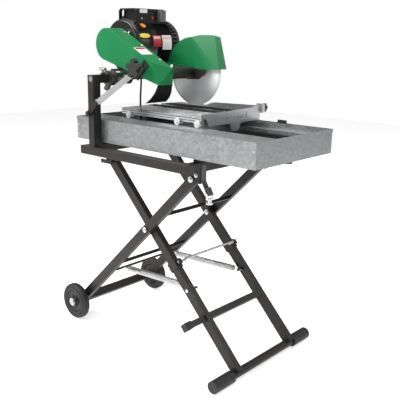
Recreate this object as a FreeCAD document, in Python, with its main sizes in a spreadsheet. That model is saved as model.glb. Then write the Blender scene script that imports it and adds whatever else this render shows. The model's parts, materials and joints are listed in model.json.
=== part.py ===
import FreeCAD, Part
import math
import os
import re

os.makedirs("parts", exist_ok=True)
doc = FreeCAD.newDocument("TileCutter")
Vector = FreeCAD.Vector
Rotation = FreeCAD.Rotation
Placement = FreeCAD.Placement

# Driving sizes in millimetres (angles in degrees). Heights are above the floor, x runs along the water pan
# from its middle, y runs away from the post side.
SIZES = {
    # water pan
    "pan_length": 892, "pan_width": 461, "pan_depth": 88, "pan_top": 883, "sheet_wall": 2,
    "deck_width": 111, "deck_lip": 14, "ledge_width": 70, "ledge_drop": 21, "rail_width": 10,
    "rail_inset": 25, "hem_step": 1.5, "hem_high": 11, "plug_radius": 15, "plug_x": 425,
    # stand top frame
    "frame_left": 378, "frame_right": 187, "frame_half": 266, "tube_deep": 35, "tube_high": 32,
    "tube_wall": 2.5, "frame_top": 777, "strap_wide": 24, "strap_drop": 52, "strap_lean": 30,
    # post and head pivot
    "post_x": -311.5, "post_side": 32, "post_top": 1050, "pivot_z": 1036, "pivot_radius": 12,
    "sleeve_radius": 20, "running_fit": 0.05, "clearance": 0.4, "slot_play": 1.0,
    # folding legs
    "hinge_x": 159, "hinge_z": 718, "wheel_lean": 45.2, "foot_lean": 44, "leg_reach": 335, "leg_wide": 35,
    "leg_thick": 25, "outer_y": 193, "inner_y": 164, "wheel_radius": 77, "wheel_wide": 34, "wheel_gap": 9,
    "hub_radius": 44, "axle_radius": 8, "foot_half": 293, "foot_radius": 16, "sleeve_wall": 7,
    "foot_height": 22.4, "foot_inset": 14, "wire_radius": 4.5, "tie_side": 12, "spring_side": 15,
    # cutting head
    "motor_x": -351, "motor_z": 1162, "motor_radius": 97, "motor_near": -62, "motor_far": 132,
    "plate_thick": 8, "spindle_x": -96.6, "spindle_z": 1061, "spindle_radius": 9,
    "housing_radius": 22, "cover_near": -153, "cover_deep": 70, "cover_radius": 61,
    "big_pulley": 38, "small_pulley": 18, "belt_thick": 4, "belt_wide": 14,
    "blade_radius": 127, "blade_thick": 2.4, "blade_y": 86, "guard_radius": 134,
    "guard_wide": 48, "guard_wall": 2, "lead_radius": 5, "pump_cord_radius": 4,
    # cart
    "table_top": 921, "table_thick": 4, "cart_left": -303, "cart_right": 118, "cart_near": -119,
    "cart_far": 222, "slot_width": 26, "roller_radius": 13, "roller_wide": 7,
    "fence_thick": 5, "fence_low": 885.5, "fence_high": 936,
}

sheet = doc.addObject("Spreadsheet::Sheet", "Sizes")
for row, (alias, number) in enumerate(SIZES.items(), start=1):
    sheet.set(f"A{row}", alias)
    sheet.set(f"B{row}", str(number))
    sheet.setAlias(f"B{row}", alias)
doc.recompute()


class Sizes:
    pass


s = Sizes()
for alias, number in SIZES.items():
    setattr(s, alias, number)

# the overall box runs from the wheels to the pan's right end: its middle is the origin's x
wheel_sin = math.sin(math.radians(s.wheel_lean))
wheel_cos = math.cos(math.radians(s.wheel_lean))
foot_sin = math.sin(math.radians(s.foot_lean))
foot_cos = math.cos(math.radians(s.foot_lean))
axle_reach = (s.hinge_z - s.wheel_radius) / wheel_cos
wheel_x = s.hinge_x - axle_reach * wheel_sin
SHIFT = -(wheel_x - s.wheel_radius + s.pan_length / 2) / 2

ALONG = {"X": Rotation(Vector(0, 1, 0), 90), "Y": Rotation(Vector(1, 0, 0), -90), "Z": Rotation()}
BASE = Placement(Vector(SHIFT, 0, 0), Rotation())
names = {}


def bind(item, **sizes):
    """Set each property from a number or from an expression over the sheet's aliases."""
    for prop, value in sizes.items():
        if isinstance(value, str):
            text = re.sub(r"[A-Za-z_]\w*", lambda word: "Sizes." + word.group(0), value)
            item.setExpression(prop, text)
        else:
            setattr(item, prop, value)
    return item


def new(kind, stem):
    names[stem] = names.get(stem, 0) + 1
    return doc.addObject(kind, f"{stem}{names[stem]}")


def block(stem, size, corner, frame=BASE):
    """A box with its lowest corner at corner."""
    item = bind(new("Part::Box", stem), Length=size[0], Width=size[1], Height=size[2])
    item.Placement = frame.multiply(Placement(Vector(*corner), Rotation()))
    return item


def rod(stem, radius, length, start, axis="Y", frame=BASE):
    """A cylinder that starts at start and runs along an axis."""
    item = bind(new("Part::Cylinder", stem), Radius=radius, Height=length)
    item.Placement = frame.multiply(Placement(Vector(*start), ALONG[axis]))
    return item


def cut(stem, base, *tools):
    tool = tools[0]
    if len(tools) > 1:
        tool = new("Part::MultiFuse", stem + "Tool")
        tool.Shapes = list(tools)
    item = new("Part::Cut", stem)
    item.Base = base
    item.Tool = tool
    return item


def fuse(stem, *parts):
    item = new("Part::MultiFuse", stem)
    item.Shapes = list(parts)
    return item


def group(stem, *parts):
    item = new("Part::Compound", stem)
    item.Links = list(parts)
    return item


def ring(stem, outer, inner, length, start, axis="Y", frame=BASE):
    return cut(stem, rod(stem, outer, length, start, axis, frame),
               rod(stem, inner, length, start, axis, frame))


def outline(points, arcs=()):
    """Closed list of edges through the points; arcs maps a point number to a mid point of its edge."""
    edges = []
    for number, first in enumerate(points):
        second = points[(number + 1) % len(points)]
        if number in dict(arcs):
            edges.append(Part.Arc(Vector(*first, 0), Vector(*dict(arcs)[number], 0), Vector(*second, 0)))
        else:
            edges.append(Part.LineSegment(Vector(*first, 0), Vector(*second, 0)))
    return edges


def slab(stem, points, depth, y, arcs=(), holes=(), frame=BASE):
    """An x-z outline that is extruded along +y by depth from y."""
    sketch = new("Sketcher::SketchObject", stem + "Sketch")
    sketch.addGeometry(outline(points, arcs))
    for x, z, radius in holes:
        sketch.addGeometry(Part.Circle(Vector(x, z, 0), Vector(0, 0, 1), radius))
    sketch.Placement = frame.multiply(Placement(Vector(0, y, 0), Rotation(Vector(1, 0, 0), 90)))
    item = new("Part::Extrusion", stem)
    item.Base = sketch
    item.DirMode = "Custom"
    item.Dir = frame.Rotation.multVec(Vector(0, 1, 0))
    item.Solid = True
    return bind(item, LengthFwd=depth)


def turned(stem, points, frame, arcs=()):
    """A radius-height outline turned about the frame's own z axis."""
    body = new("PartDesign::Body", stem)
    body.Placement = frame
    sketch = body.newObject("Sketcher::SketchObject", body.Name + "Profile")
    plane = [item for item in body.Origin.OriginFeatures if item.Role == "XZ_Plane"][0]
    sketch.AttachmentSupport = (plane, [""])
    sketch.MapMode = "FlatFace"
    sketch.addGeometry(outline(points, arcs))
    spin = body.newObject("PartDesign::Revolution", body.Name + "Turn")
    spin.Profile = sketch
    spin.ReferenceAxis = (sketch, ["V_Axis"])
    spin.Angle = 360
    body.Tip = spin
    return body


def padded(stem, points, length, frame, holes=(), windows=()):
    """A plate body: an outline padded along the frame's z, with round holes and polygon windows pocketed."""
    body = new("PartDesign::Body", stem)
    body.Placement = frame
    plane = [item for item in body.Origin.OriginFeatures if item.Role == "XY_Plane"][0]

    def sketched(label, geometry):
        sketch = body.newObject("Sketcher::SketchObject", body.Name + label)
        sketch.AttachmentSupport = (plane, [""])
        sketch.MapMode = "FlatFace"
        sketch.addGeometry(geometry)
        return sketch

    pad = body.newObject("PartDesign::Pad", body.Name + "Pad")
    pad.Profile = sketched("Outline", outline(points))
    bind(pad, Length=length)
    openings = [Part.Circle(Vector(x, y, 0), Vector(0, 0, 1), radius) for x, y, radius in holes]
    for window in windows:
        openings += outline(window)
    if openings:
        pocket = body.newObject("PartDesign::Pocket", body.Name + "Openings")
        pocket.Profile = sketched("Openings", openings)
        pocket.Type = "ThroughAll"
        pocket.Midplane = True
    return body


def tube(stem, length, wide, thick, corner, frame, holes=()):
    """A square tube along the frame's z; holes are cylinders that pierce it."""
    wall = "tube_wall"
    inner = block(stem, (f"{wide} - 2 * {wall}", f"{thick} - 2 * {wall}", length),
                  (corner[0] + s.tube_wall, corner[1] + s.tube_wall, corner[2]), frame)
    return cut(stem, block(stem, (wide, thick, length), corner, frame), inner, *holes)


def cord(stem, points, radius):
    """A round cord of straight runs joined by tangent arcs; each arc's radius follows its corner."""
    path = [Vector(x + SHIFT, y, z) for x, y, z in points]
    edges = []
    start = path[0]
    for before, corner, after in zip(path, path[1:], path[2:]):
        into = (corner - before).normalize()
        away = (after - corner).normalize()
        half = into.getAngle(away) / 2
        setback = 0.45 * min(corner.distanceToPoint(before), corner.distanceToPoint(after))
        first = corner - into * setback
        last = corner + away * setback
        bend = setback / math.tan(half)
        middle = corner + (away - into).normalize() * (bend / math.cos(half) - bend)
        edges.append(Part.makeLine(start, first))
        edges.append(Part.Arc(first, middle, last).toShape())
        print(stem, "bend radius", round(bend, 1))
        start = last
    edges.append(Part.makeLine(start, path[-1]))
    wire = Part.Wire(edges)
    circle = Part.Wire([Part.makeCircle(radius, path[0], path[1] - path[0])])
    shape = wire.makePipeShell([circle], True, True)
    total = wire.Length * math.pi * radius ** 2
    print(stem, "length", round(wire.Length, 1), "volume share", round(shape.Volume / total, 4))
    item = new("Part::Feature", stem)
    item.Shape = shape
    return item


# places that several pieces share
belt_y = s.cover_near + s.cover_deep / 2
stud_x = s.spindle_x - 46.4
stud_z = s.spindle_z + 19
lock_x = s.post_x - 6.5
lock_z = 906
slide_x = s.hinge_x - s.leg_reach * (wheel_sin + foot_sin)
slide_z = s.hinge_z + s.leg_reach * (foot_cos - wheel_cos)


# cord routes: the motor lead from the junction box to the plate below, the pump cord from the pump to the plate
lead_box = (-386, 20, 1276)
lead_end = (-389, -8, 1049)
MOTOR_LEAD = [lead_box, (-442, 20, 1276), (-476, 14, 1232), (-484, 8, 1178), (-480, 2, 1128),
              (-466, -4, 1082),
              (-434, -8, 1049), lead_end]
PUMP_CORD = [(-415, 90, 843.5), (-418, 89, 900), (-411, 84, 956), (-398, 76, 1005), (-398, 74, 1055.6)]


# ---- water pan -------------------------------------------------------------------------------------------
def water_pan():
    half = s.pan_length / 2
    side = s.pan_width / 2
    low = s.pan_top - s.pan_depth
    lip_y = -side + s.deck_width
    ledge_y = side - s.ledge_width
    ledge_z = s.pan_top - s.ledge_drop
    step = s.hem_step
    inner_length = "pan_length - 2 * hem_step - 2 * sheet_wall"
    body = fuse("panBody",
                block("panSides", ("pan_length - 2 * hem_step", "pan_width - 2 * hem_step", "pan_depth"),
                      (-half + step, -side + step, low)),
                block("panHem", ("pan_length", "pan_width", "hem_high"),
                      (-half, -side, s.pan_top - s.hem_high)))
    shell = cut("panShell", body,
                block("panHollow", (inner_length, "pan_width - 2 * hem_step - 2 * sheet_wall", "pan_depth"),
                      (-half + step + s.sheet_wall, -side + step + s.sheet_wall, low + s.sheet_wall)),
                rod("panDrain", "plug_radius / 2 + clearance", 20, (s.plug_x, -20, low - 5), "Z"))
    inside = -half + step + s.sheet_wall
    deck = block("panDeck", (inner_length, "deck_width", "sheet_wall"),
                 (inside, -side, s.pan_top - s.sheet_wall))
    deck_lip = block("panDeckLip", (inner_length, "sheet_wall", "deck_lip"),
                     (inside, lip_y - s.sheet_wall, s.pan_top - s.deck_lip))
    ledge = block("panLedge", (inner_length, "ledge_width", "sheet_wall"),
                  (inside, ledge_y - step, ledge_z - s.sheet_wall))
    ledge_lip = block("panLedgeLip", (inner_length, "sheet_wall", "deck_lip"),
                      (inside, ledge_y, ledge_z - s.deck_lip))
    rail = block("panRail", (inner_length, "rail_width", "ledge_drop"),
                 (inside, side - s.rail_inset - s.rail_width, ledge_z))
    return fuse("pan", shell, deck, deck_lip, ledge, ledge_lip, rail)


def pan_rubbers():
    """Drain plug below the pan's right end, and the stop block on its far rim."""
    low = s.pan_top - s.pan_depth
    flange = rod("plugFlange", "plug_radius", 8, (s.plug_x, -20, low - 8), "Z")
    neck = rod("plugNeck", "plug_radius / 2", 14, (s.plug_x, -20, low - 8), "Z")
    stop = block("edgeStop", (40, 7, 11), (206, s.pan_width / 2 - 7.4, s.pan_top))
    return group("panRubbers", fuse("drainPlug", flange, neck), stop)


def water_pump():
    low = s.pan_top - s.pan_depth + s.sheet_wall
    case = block("pumpCase", (46, 56, 34), (-438, 62, low))
    dome = rod("pumpDome", 17, 12, (-415, 90, low + 34), "Z")
    spout = rod("pumpSpout", 6, 20, (-415, 55, low + 12), "Y")
    return fuse("waterPump", case, dome, spout)


# ---- stand top frame -------------------------------------------------------------------------------------
def stand_frame():
    """Two long rails and two cross tubes of one rectangular tube, and the two bars that bear the pan."""
    length = "frame_left + frame_right"
    low = s.frame_top - s.tube_high
    gap = "pan_top - pan_depth - frame_top"
    parts = [block("bearer", (26, 400, gap), (x, -200, s.frame_top))
             for x in (-s.frame_left + 5, s.frame_right - 31)]
    for y in (-s.frame_half, s.frame_half - s.tube_deep):
        outer = block("railOuter", (length, "tube_deep", "tube_high"), (-s.frame_left, y, low))
        inner = block("railInner", (length, "tube_deep - 2 * tube_wall", "tube_high - 2 * tube_wall"),
                      (-s.frame_left, y + s.tube_wall, low + s.tube_wall))
        parts.append(cut("rail", outer, inner))
    across = "2 * frame_half - 2 * tube_deep"
    for x in (-s.frame_left, s.frame_right - s.tube_deep):
        y = -s.frame_half + s.tube_deep
        outer = block("crossOuter", ("tube_deep", across, "tube_high"), (x, y, low))
        inner = block("crossInner", ("tube_deep - 2 * tube_wall", across, "tube_high - 2 * tube_wall"),
                      (x + s.tube_wall, y, low + s.tube_wall))
        parts.append(cut("cross", outer, inner))
    return group("standFrame", *parts)


def end_caps():
    """Plastic caps in the open ends of both rails."""
    parts = []
    low = s.frame_top - s.tube_high
    gap = s.tube_wall + s.clearance
    for y in (-s.frame_half, s.frame_half - s.tube_deep):
        for x, plug_x in ((-s.frame_left - 4, -s.frame_left), (s.frame_right, s.frame_right - 12)):
            lid = block("capLid", (4, "tube_deep", "tube_high"), (x, y, low))
            plug = block("capPlug", (12, "tube_deep - 2 * (tube_wall + clearance)",
                                     "tube_high - 2 * (tube_wall + clearance)"), (plug_x, y + gap, low + gap))
            parts.append(fuse("endCap", lid, plug))
    return group("endCaps", *parts)


def post():
    """Square post on the near rail, with bores for the pivot shaft, the T screw and the lock arm's bolt."""
    x = s.post_x - s.post_side / 2
    y = -s.frame_half
    outer = block("postOuter", ("post_side", "tube_deep", "post_top - frame_top"), (x, y, s.frame_top))
    inner = block("postInner", ("post_side - 2 * tube_wall", "tube_deep - 2 * tube_wall",
                                "post_top - frame_top"),
                  (x + s.tube_wall, y + s.tube_wall, s.frame_top - s.tube_wall))
    arm = block("postArm", ("post_side", 44, 30), (x, y + s.tube_deep, s.post_top - 30))
    boss = rod("postBoss", 9, 16, (s.post_x, y + s.tube_deep + 26, s.post_top - 10), "Z")
    shell = fuse("postShell", cut("postTube", outer, inner), arm, boss)
    bore = rod("postBore", "pivot_radius + running_fit", 100, (s.post_x, y - 5, s.pivot_z))
    screw = rod("postScrew", "5 + running_fit", 60, (s.post_x, y + s.tube_deep + 26, s.post_top - 12), "Z")
    bolt = rod("postBolt", "6 + running_fit", 60, (lock_x, y - 5, lock_z))
    return cut("post", shell, bore, screw, bolt)


def frame_bolts():
    """Hex head bolts of one size: post side, post foot and the hinge gussets."""
    parts = []
    for z in (994, 800):
        parts.append(rod("boltHead", 6, 5, (s.post_x - s.post_side / 2 - 5, -s.frame_half + 17, z), "X"))
    for y in (-s.outer_y - s.leg_thick / 2 - 10.5, s.outer_y + s.leg_thick / 2 + 5.5):
        parts.append(rod("boltHead", 6, 5, (s.frame_right - 8, y, s.hinge_z + 17)))
    return group("frameBolts", *parts)


def hinge_gussets():
    """Channels below the right cross tube: two plates that hold a wheel leg's hinge bolt, and a web."""
    parts = []
    low = s.frame_top - s.tube_high
    x, z = s.hinge_x, s.hinge_z
    right = s.frame_right
    points = [(x - 22, low), (right, low), (right, low - 38), (x + 10, z - 22), (x - 20, z - 10)]
    for side in (-1, 1):
        centre = side * s.outer_y
        plates = [slab("gusset", points, 4, centre + offset, holes=[(x, z, 6.0 + s.running_fit)])
                  for offset in (-s.leg_thick / 2 - 5.5, s.leg_thick / 2 + 1.5)]
        web = block("gussetWeb", (4, "leg_thick + 11", 38), (right - 4, centre - s.leg_thick / 2 - 5.5,
                                                             low - 38))
        parts.append(fuse("gussetChannel", *plates, web))
    return parts


def leg_brackets():
    """The hinge channels, and open channels below the rails' left ends for the foot legs' top pins."""
    low = s.frame_top - s.tube_high
    x = slide_x
    parts = hinge_gussets()
    for side in (-1, 1):
        centre = side * (s.inner_y + s.leg_thick / 2 + 9)
        wall = block("slideWall", (64, 3, 44), (x - 44, centre - 1.5, low - 44))
        roof = block("slideRoof", (64, abs(s.frame_half - s.tube_deep) - abs(centre) + 12, 3),
                     (x - 44, min(centre, side * (s.frame_half - s.tube_deep + 12)), low - 3))
        slot = block("slideSlot", (60, 12, "2 * (6 + clearance) + slot_play"),
                     (x - 54, centre - 6, slide_z - 6 - s.clearance))
        parts.append(cut("slideBracket", fuse("slideBody", wall, roof), slot))
    return group("legBrackets", *parts)


strap_y = -180
strap = BASE.multiply(Placement(Vector(s.frame_right, strap_y, s.frame_top - s.tube_high - 33),
                                Rotation(Vector(0, 1, 0), -s.strap_lean)))


def strap_band():
    """Webbing on the right cross tube that leans outwards and folds round the hook's bar at its foot."""
    half = s.strap_wide / 2
    top = block("strapTop", (3, "strap_wide", 63), (s.frame_right, strap_y - half,
                                                    s.frame_top - s.tube_high - 39))
    band = block("strapFlat", (3, "strap_wide", "strap_drop - 2"), (0, -half, -s.strap_drop), strap)
    loop = rod("strapLoop", 6, "strap_wide", (6, -half, -s.strap_drop), "Y", strap)
    tail = block("strapTail", (3, "strap_wide", 22), (9, -half, -s.strap_drop), strap)
    bridge = block("strapStitch", (12, "strap_wide", 6), (0, -half, 18 - s.strap_drop), strap)
    hole = rod("strapHole", 3, 30, (6, -15, -s.strap_drop), "Y", strap)
    gap = block("strapGap", (6, 30, 16), (3, -15, -s.strap_drop), strap)
    return cut("strapBand", fuse("strapBody", top, band, loop, tail, bridge), hole, gap)


def strap_hook():
    """Flat steel snap hook that swings on its bar in the strap's fold."""
    hook = strap.multiply(Placement(Vector(6, 0, -s.strap_drop), Rotation(Vector(0, 1, 0), s.strap_lean)))
    bar = rod("hookBar", 3 - s.running_fit, 34, (0, -17, 0), "Y", hook)
    sides = [slab("hookSide", [(-3, 3), (3, 3), (3, -14), (-3, -14)], 3, y, frame=hook) for y in (-17, 14)]
    foot = block("hookFoot", (6, 34, 5), (-3, -17, -19), hook)
    claw = slab("hookClaw", [(-3, -19), (3, -19), (3, -38), (-11, -38), (-11, -28), (-8, -28), (-8, -34),
                             (-3, -34)],
                14, -7, frame=hook)
    return fuse("strapHook", bar, *sides, foot, claw)


def t_screw():
    y = -s.frame_half + s.tube_deep + 26
    foot = s.pivot_z + s.pivot_radius + s.clearance
    stem = rod("tStem", 5, 24, (s.post_x, y, foot), "Z")
    grip = rod("tGrip", 6, 34, (s.post_x - 17, y, foot + 22), "X")
    return fuse("tScrew", stem, grip)


def pivot_shaft():
    return rod("pivotShaft", "pivot_radius", "frame_half - 58", (s.post_x, -s.frame_half + 1, s.pivot_z))


# ---- cutting head ----------------------------------------------------------------------------------------
def pivot_sleeve():
    """Sleeve that turns on the pivot shaft, with two clamp rings and the spring case below it."""
    start = (s.post_x, -178, s.pivot_z)
    tubes = [rod("sleeve", "sleeve_radius", 98, start),
             rod("sleeveRing", "sleeve_radius + 9", 6, (s.post_x, -183, s.pivot_z)),
             rod("sleeveRing", "sleeve_radius + 9", 6, (s.post_x, -158, s.pivot_z))]
    case_frame = BASE.multiply(Placement(Vector(s.post_x + 6, -171, s.pivot_z - 6),
                                         Rotation(Vector(0, 1, 0), 215)))
    case = rod("springCase", 11.5, 46, (0, 0, 0), "Z", case_frame)
    bore = rod("sleeveBore", "pivot_radius + running_fit", 110, (s.post_x, -184, s.pivot_z))
    return cut("pivotSleeve", fuse("sleeveBody", *tubes, case), bore)


def base_plate():
    """Plate below the motor, two webs, and the hanger of the splash flap."""
    low = s.pivot_z + s.sleeve_radius
    edge = s.spindle_x - s.housing_radius + 2
    left = s.motor_x - 62
    length = edge - left
    plate = block("plate", (length, 134, "plate_thick"), (left, -80, low))
    heel = block("plateHeel", (122, 44, "plate_thick"), (left, 48, low))
    webs = [slab("web", [(s.post_x - 26, low), (edge, low), (edge, low - 14), (s.post_x, low - 30)], 6, y)
            for y in (-78, 40)]
    collar = rod("collar", "sleeve_radius + 6", 6, (s.post_x, -78, s.pivot_z))
    lug = block("flapHanger", (4, 74, 54), (-190, -26, low - 54))
    boss = rod("leadBoss", 9, 26, (left, lead_end[1], lead_end[2]), "X")
    feet = [block("motorFoot", (110, 20, 26), (s.motor_x - 55, y, low + s.plate_thick))
            for y in (-40, 70)]
    body = fuse("plateBody", plate, heel, *webs, collar, lug, boss, *feet)
    return cut("basePlate", body,
               rod("plateMotorCut", "motor_radius + running_fit", 260, (s.motor_x, -120, s.motor_z)),
               rod("plateHousingCut", "housing_radius + running_fit", 200, (s.spindle_x, -100, s.spindle_z)),
               rod("plateSleeveCut", "sleeve_radius + running_fit", 98, (s.post_x, -178, s.pivot_z)),
               rod("plateLeadCut", "lead_radius + clearance", 40, (left - 4, lead_end[1], lead_end[2]), "X"),
               rod("platePivotCut", "pivot_radius + running_fit + 1", 260, (s.post_x, -80, s.pivot_z)))


def spindle_housing():
    """Bearing tube of the blade shaft, with the flange that carries the blade guard, and its bearings."""
    start = -76
    length = 136
    tube_part = rod("housingTube", "housing_radius", length, (s.spindle_x, start, s.spindle_z))
    x, z = s.spindle_x, s.spindle_z
    outline_points = [(x - 44, z - 12), (x - 20, z - 26), (x + 40, z - 24), (x + 68, z - 4), (x + 74, z + 14),
                      (x - 60, z + 20)]
    flange = slab("housingFlange", outline_points, 6, s.blade_y - s.guard_wide / 2 - 6)
    bore = rod("housingBore", "spindle_radius + 3", length + 10, (s.spindle_x, start - 1, s.spindle_z))
    seats = [rod("bearingSeat", "19 + running_fit", 14, (s.spindle_x, y,
                                                         s.spindle_z)) for y in (start, start + length - 14)]
    shell = cut("housingShell", fuse("housingBody", tube_part, flange), bore, *seats)
    bearings = [ring("bearing", 19, "spindle_radius + running_fit", 11, (s.spindle_x, y, s.spindle_z))
                for y in (start + 2, start + length - 13)]
    return group("spindleHousing", shell, *bearings)


def motor_shell():
    """Motor: finned steel shell with a bored middle, a near end bell and a far fan cover."""
    axis = (s.motor_x, s.motor_near, s.motor_z)
    length = s.motor_far - s.motor_near
    shell = ring("motorTube", "motor_radius", "motor_radius - 8", length, axis)
    near = motor_bell("motorNear", -1, s.motor_near, 12, 10 + s.running_fit)
    far = motor_bell("motorFarBell", 1, s.motor_far, 34, 10 + s.running_fit)
    return group("motorShell", shell, near, far)


def motor_bell(stem, side, y, depth, hole):
    """Cup with a rounded rim; its bore clears the rotor shaft."""
    radius = s.motor_radius
    rim = 10
    points = [(hole, 0), (radius, 0), (radius, depth - rim), (radius - rim, depth), (hole, depth)]
    corner = (radius - rim + rim * math.sin(math.radians(45)), depth - rim + rim * math.cos(math.radians(45)))
    turn = Rotation(Vector(1, 0, 0), 90 if side < 0 else -90)
    frame = BASE.multiply(Placement(Vector(s.motor_x, y, s.motor_z), turn))
    if depth <= 20:
        return turned(stem, points, frame, [(2, corner)])
    wall = 3
    hollow = [(hole + 14, 0), (radius, 0), (radius, depth - rim), (radius - rim, depth), (hole, depth),
              (hole, depth - wall), (radius - rim, depth - wall), (radius - wall, depth - rim),
              (radius - wall, wall), (hole + 14, wall)]
    return turned(stem, hollow, frame, [(2, corner)])


def rotor():
    """Motor shaft, its fan and its belt pulley."""
    length = s.motor_far + 12 - (s.cover_near + 8)
    shaft = rod("rotorShaft", 10, length, (s.motor_x, s.cover_near + 8, s.motor_z))
    return group("rotor", shaft, motor_fan(), pulley("motorPulley", s.motor_x, s.motor_z, s.big_pulley, 10))


def motor_fan():
    """Hub and six flat blades behind the shell."""
    y = s.motor_far + 8
    hub = rod("fanHub", 22, 14, (s.motor_x, y, s.motor_z))
    blades = []
    for number in range(6):
        frame = BASE.multiply(Placement(Vector(s.motor_x, y, s.motor_z),
                                        Rotation(Vector(0, 1, 0), 60 * number)))
        blades.append(block("fanBlade", (54, 14, 3), (20, 0, -1.5), frame))
    bore = rod("fanBore", 10, 20, (s.motor_x, y - 2, s.motor_z))
    return cut("motorFan", fuse("fanBody", hub, *blades), bore)


def pulley(stem, x, z, radius, bore):
    half = s.belt_wide / 2 + 3
    lip = radius + 1.5
    inner = radius - 3
    points = [(bore, -half), (lip, -half), (lip, -half + 2.5), (inner, -4), (inner, 4), (lip, half - 2.5),
              (lip, half),
              (bore, half)]
    frame = BASE.multiply(Placement(Vector(x, belt_y, z), ALONG["Y"]))
    return turned(stem, points, frame)


def drive_belt():
    """Flat-backed belt around both pulleys, clear of them by the clearance."""
    inner = belt_loop("beltInner", s.clearance + 1.6, s.belt_wide + 2)
    outer = belt_loop("beltOuter", s.clearance + 1.6 + s.belt_thick, s.belt_wide)
    return cut("driveBelt", outer, inner)


def belt_loop(stem, gap, width):
    first = (s.motor_x, s.motor_z, s.big_pulley + gap)
    second = (s.spindle_x, s.spindle_z, s.small_pulley + gap)
    points, arcs = wrap(first, second)
    return slab(stem, points, width, belt_y - width / 2, arcs)


def wrap(first, second):
    """Outline around two circles: two tangent lines and two arcs."""
    dx = second[0] - first[0]
    dz = second[1] - first[1]
    span = math.hypot(dx, dz)
    lean = math.atan2(dz, dx)
    side = math.acos((first[2] - second[2]) / span)
    points = []
    for x, z, radius in (first, second):
        for turn in (side, -side):
            points.append((x + radius * math.cos(lean + turn), z + radius * math.sin(lean + turn)))
    far_first = (first[0] - first[2] * math.cos(lean), first[1] - first[2] * math.sin(lean))
    far_second = (second[0] + second[2] * math.cos(lean), second[1] + second[2] * math.sin(lean))
    order = [points[0], points[1], points[3], points[2]]
    return order, [(0, far_first), (2, far_second)]


def cover_outline(inset):
    """Belt cover outline: a round big end that tapers to a blunt small end."""
    radius = s.cover_radius - inset
    x, z = s.motor_x, s.motor_z
    top_corner = (s.spindle_x + 40 - inset, s.spindle_z + 19 - inset)
    low_corner = (s.spindle_x + 35 - inset, s.spindle_z - 39 + inset)
    points = []
    for corner, side in ((low_corner, -1), (top_corner, 1)):
        span = math.hypot(corner[0] - x, corner[1] - z)
        lean = math.atan2(corner[1] - z, corner[0] - x) + side * math.acos(radius / span)
        points.append((x + radius * math.cos(lean), z + radius * math.sin(lean)))
    back = (x - radius, z)
    return [points[0], low_corner, top_corner, points[1]], [(3, back)]


def belt_cover():
    """Hollow sheet cover with a bevelled front corner, and the plate that closes its back."""
    points, arcs = cover_outline(0)
    outer = slab("coverOuter", points, "cover_deep", s.cover_near, arcs)
    points, arcs = cover_outline(s.guard_wall)
    inner = slab("coverInner", points, "cover_deep", s.cover_near + s.guard_wall, arcs)
    far = s.cover_near + s.cover_deep
    corners = ((s.spindle_x - 1, s.cover_near, s.spindle_z + 33), (s.spindle_x + 35.6, s.cover_near,
                                                                   s.spindle_z - 38),
               (s.spindle_x + 40, far, s.spindle_z + 19))
    shell = cut("coverShell", cut("coverBevelled", outer, wedge("coverBevel", corners, 0)),
                cut("coverInnerBevelled", inner, wedge("coverBevel", corners, s.guard_wall)))
    return group("beltCover", shell, cover_back())


def wedge(stem, corners, inset):
    """Block on the near side of the plane through three corners, moved inwards by inset."""
    first, second, third = [Vector(*corner) for corner in corners]
    along = (second - first).normalize()
    normal = along.cross(third - first).normalize()
    if normal.y > 0:
        normal = normal * -1
    frame = BASE.multiply(Placement(first - normal * inset, Rotation(along, Vector(), normal, "XZY")))
    return block(stem, (400, 400, 80), (-200, -200, 0), frame)


def cover_back():
    points, arcs = cover_outline(0)
    y = s.cover_near + s.cover_deep
    holes = [(s.motor_x, s.motor_z, 16), (s.spindle_x, s.spindle_z, s.spindle_radius + 4)]
    return slab("coverBack", points, 3, y, arcs, holes)


def cover_bolts():
    """Dome head screws along the cover's top flank."""
    points, arcs = cover_outline(0)
    low, high = points[3], points[2]
    parts = []
    lean = math.atan2(high[1] - low[1], high[0] - low[0])
    for share in (0.06, 0.42, 0.78):
        x = low[0] + share * (high[0] - low[0])
        z = low[1] + share * (high[1] - low[1])
        turn = Rotation(Vector(0, 1, 0), math.degrees(-lean))
        frame = BASE.multiply(Placement(Vector(x, s.cover_near + s.cover_deep - 9, z), turn))
        parts.append(rod("coverBolt", 5.5, 4, (0, 0, 0), "Z", frame))
    return group("coverBolts", *parts)


def slot_plate():
    """Plate on the cover's face with the slot that the lock arm's stud runs in."""
    frame = BASE.multiply(Placement(Vector(stud_x, s.cover_near, stud_z), Rotation(Vector(0, 1, 0), -45)))
    plate = block("slotPlate", (78, 6, 30), (-50, -6, -15), frame)
    slot = block("slotGap", (56, 10, 12.8), (-38, -8, -6.4), frame)
    return cut("slotPlate", plate, slot)


def junction_box():
    near, far = -23, 112
    right = s.motor_x + 51
    box = block("boxBody", (92, far - near, 74), (right - 92, near, s.motor_z + 64))
    hollow = block("boxHollow", (86, far - near - 6, 43), (right - 89, near + 3, s.motor_z + 92))
    motor = rod("boxMotorCut", "motor_radius + running_fit", 300, (s.motor_x, -100, s.motor_z))
    hole = rod("boxButtonHole", "5 + running_fit", 20, (right - 10, 44, s.motor_z + 104), "X")
    window = block("boxWindow", (20, 20.6, 33), (right - 10, 79.7, s.motor_z + 94.5))
    gland = rod("boxGland", 9, 14, (right - 92 - 12, lead_box[1], lead_box[2]), "X")
    gland_bore = rod("boxGlandBore", "lead_radius + clearance", 24, (right - 92 - 14, lead_box[1],
                                                                     lead_box[2]), "X")
    return cut("junctionBox", fuse("boxSolid", box, gland), hollow, motor, hole, window, gland_bore)


def overload_button():
    x = s.motor_x + 51
    cap = rod("buttonCap", 5, 9, (x - 5, 44, s.motor_z + 104), "X")
    return fuse("overloadButton", cap, rod("buttonFlange", 7, 2, (x - 6, 44, s.motor_z + 104), "X"))


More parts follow.
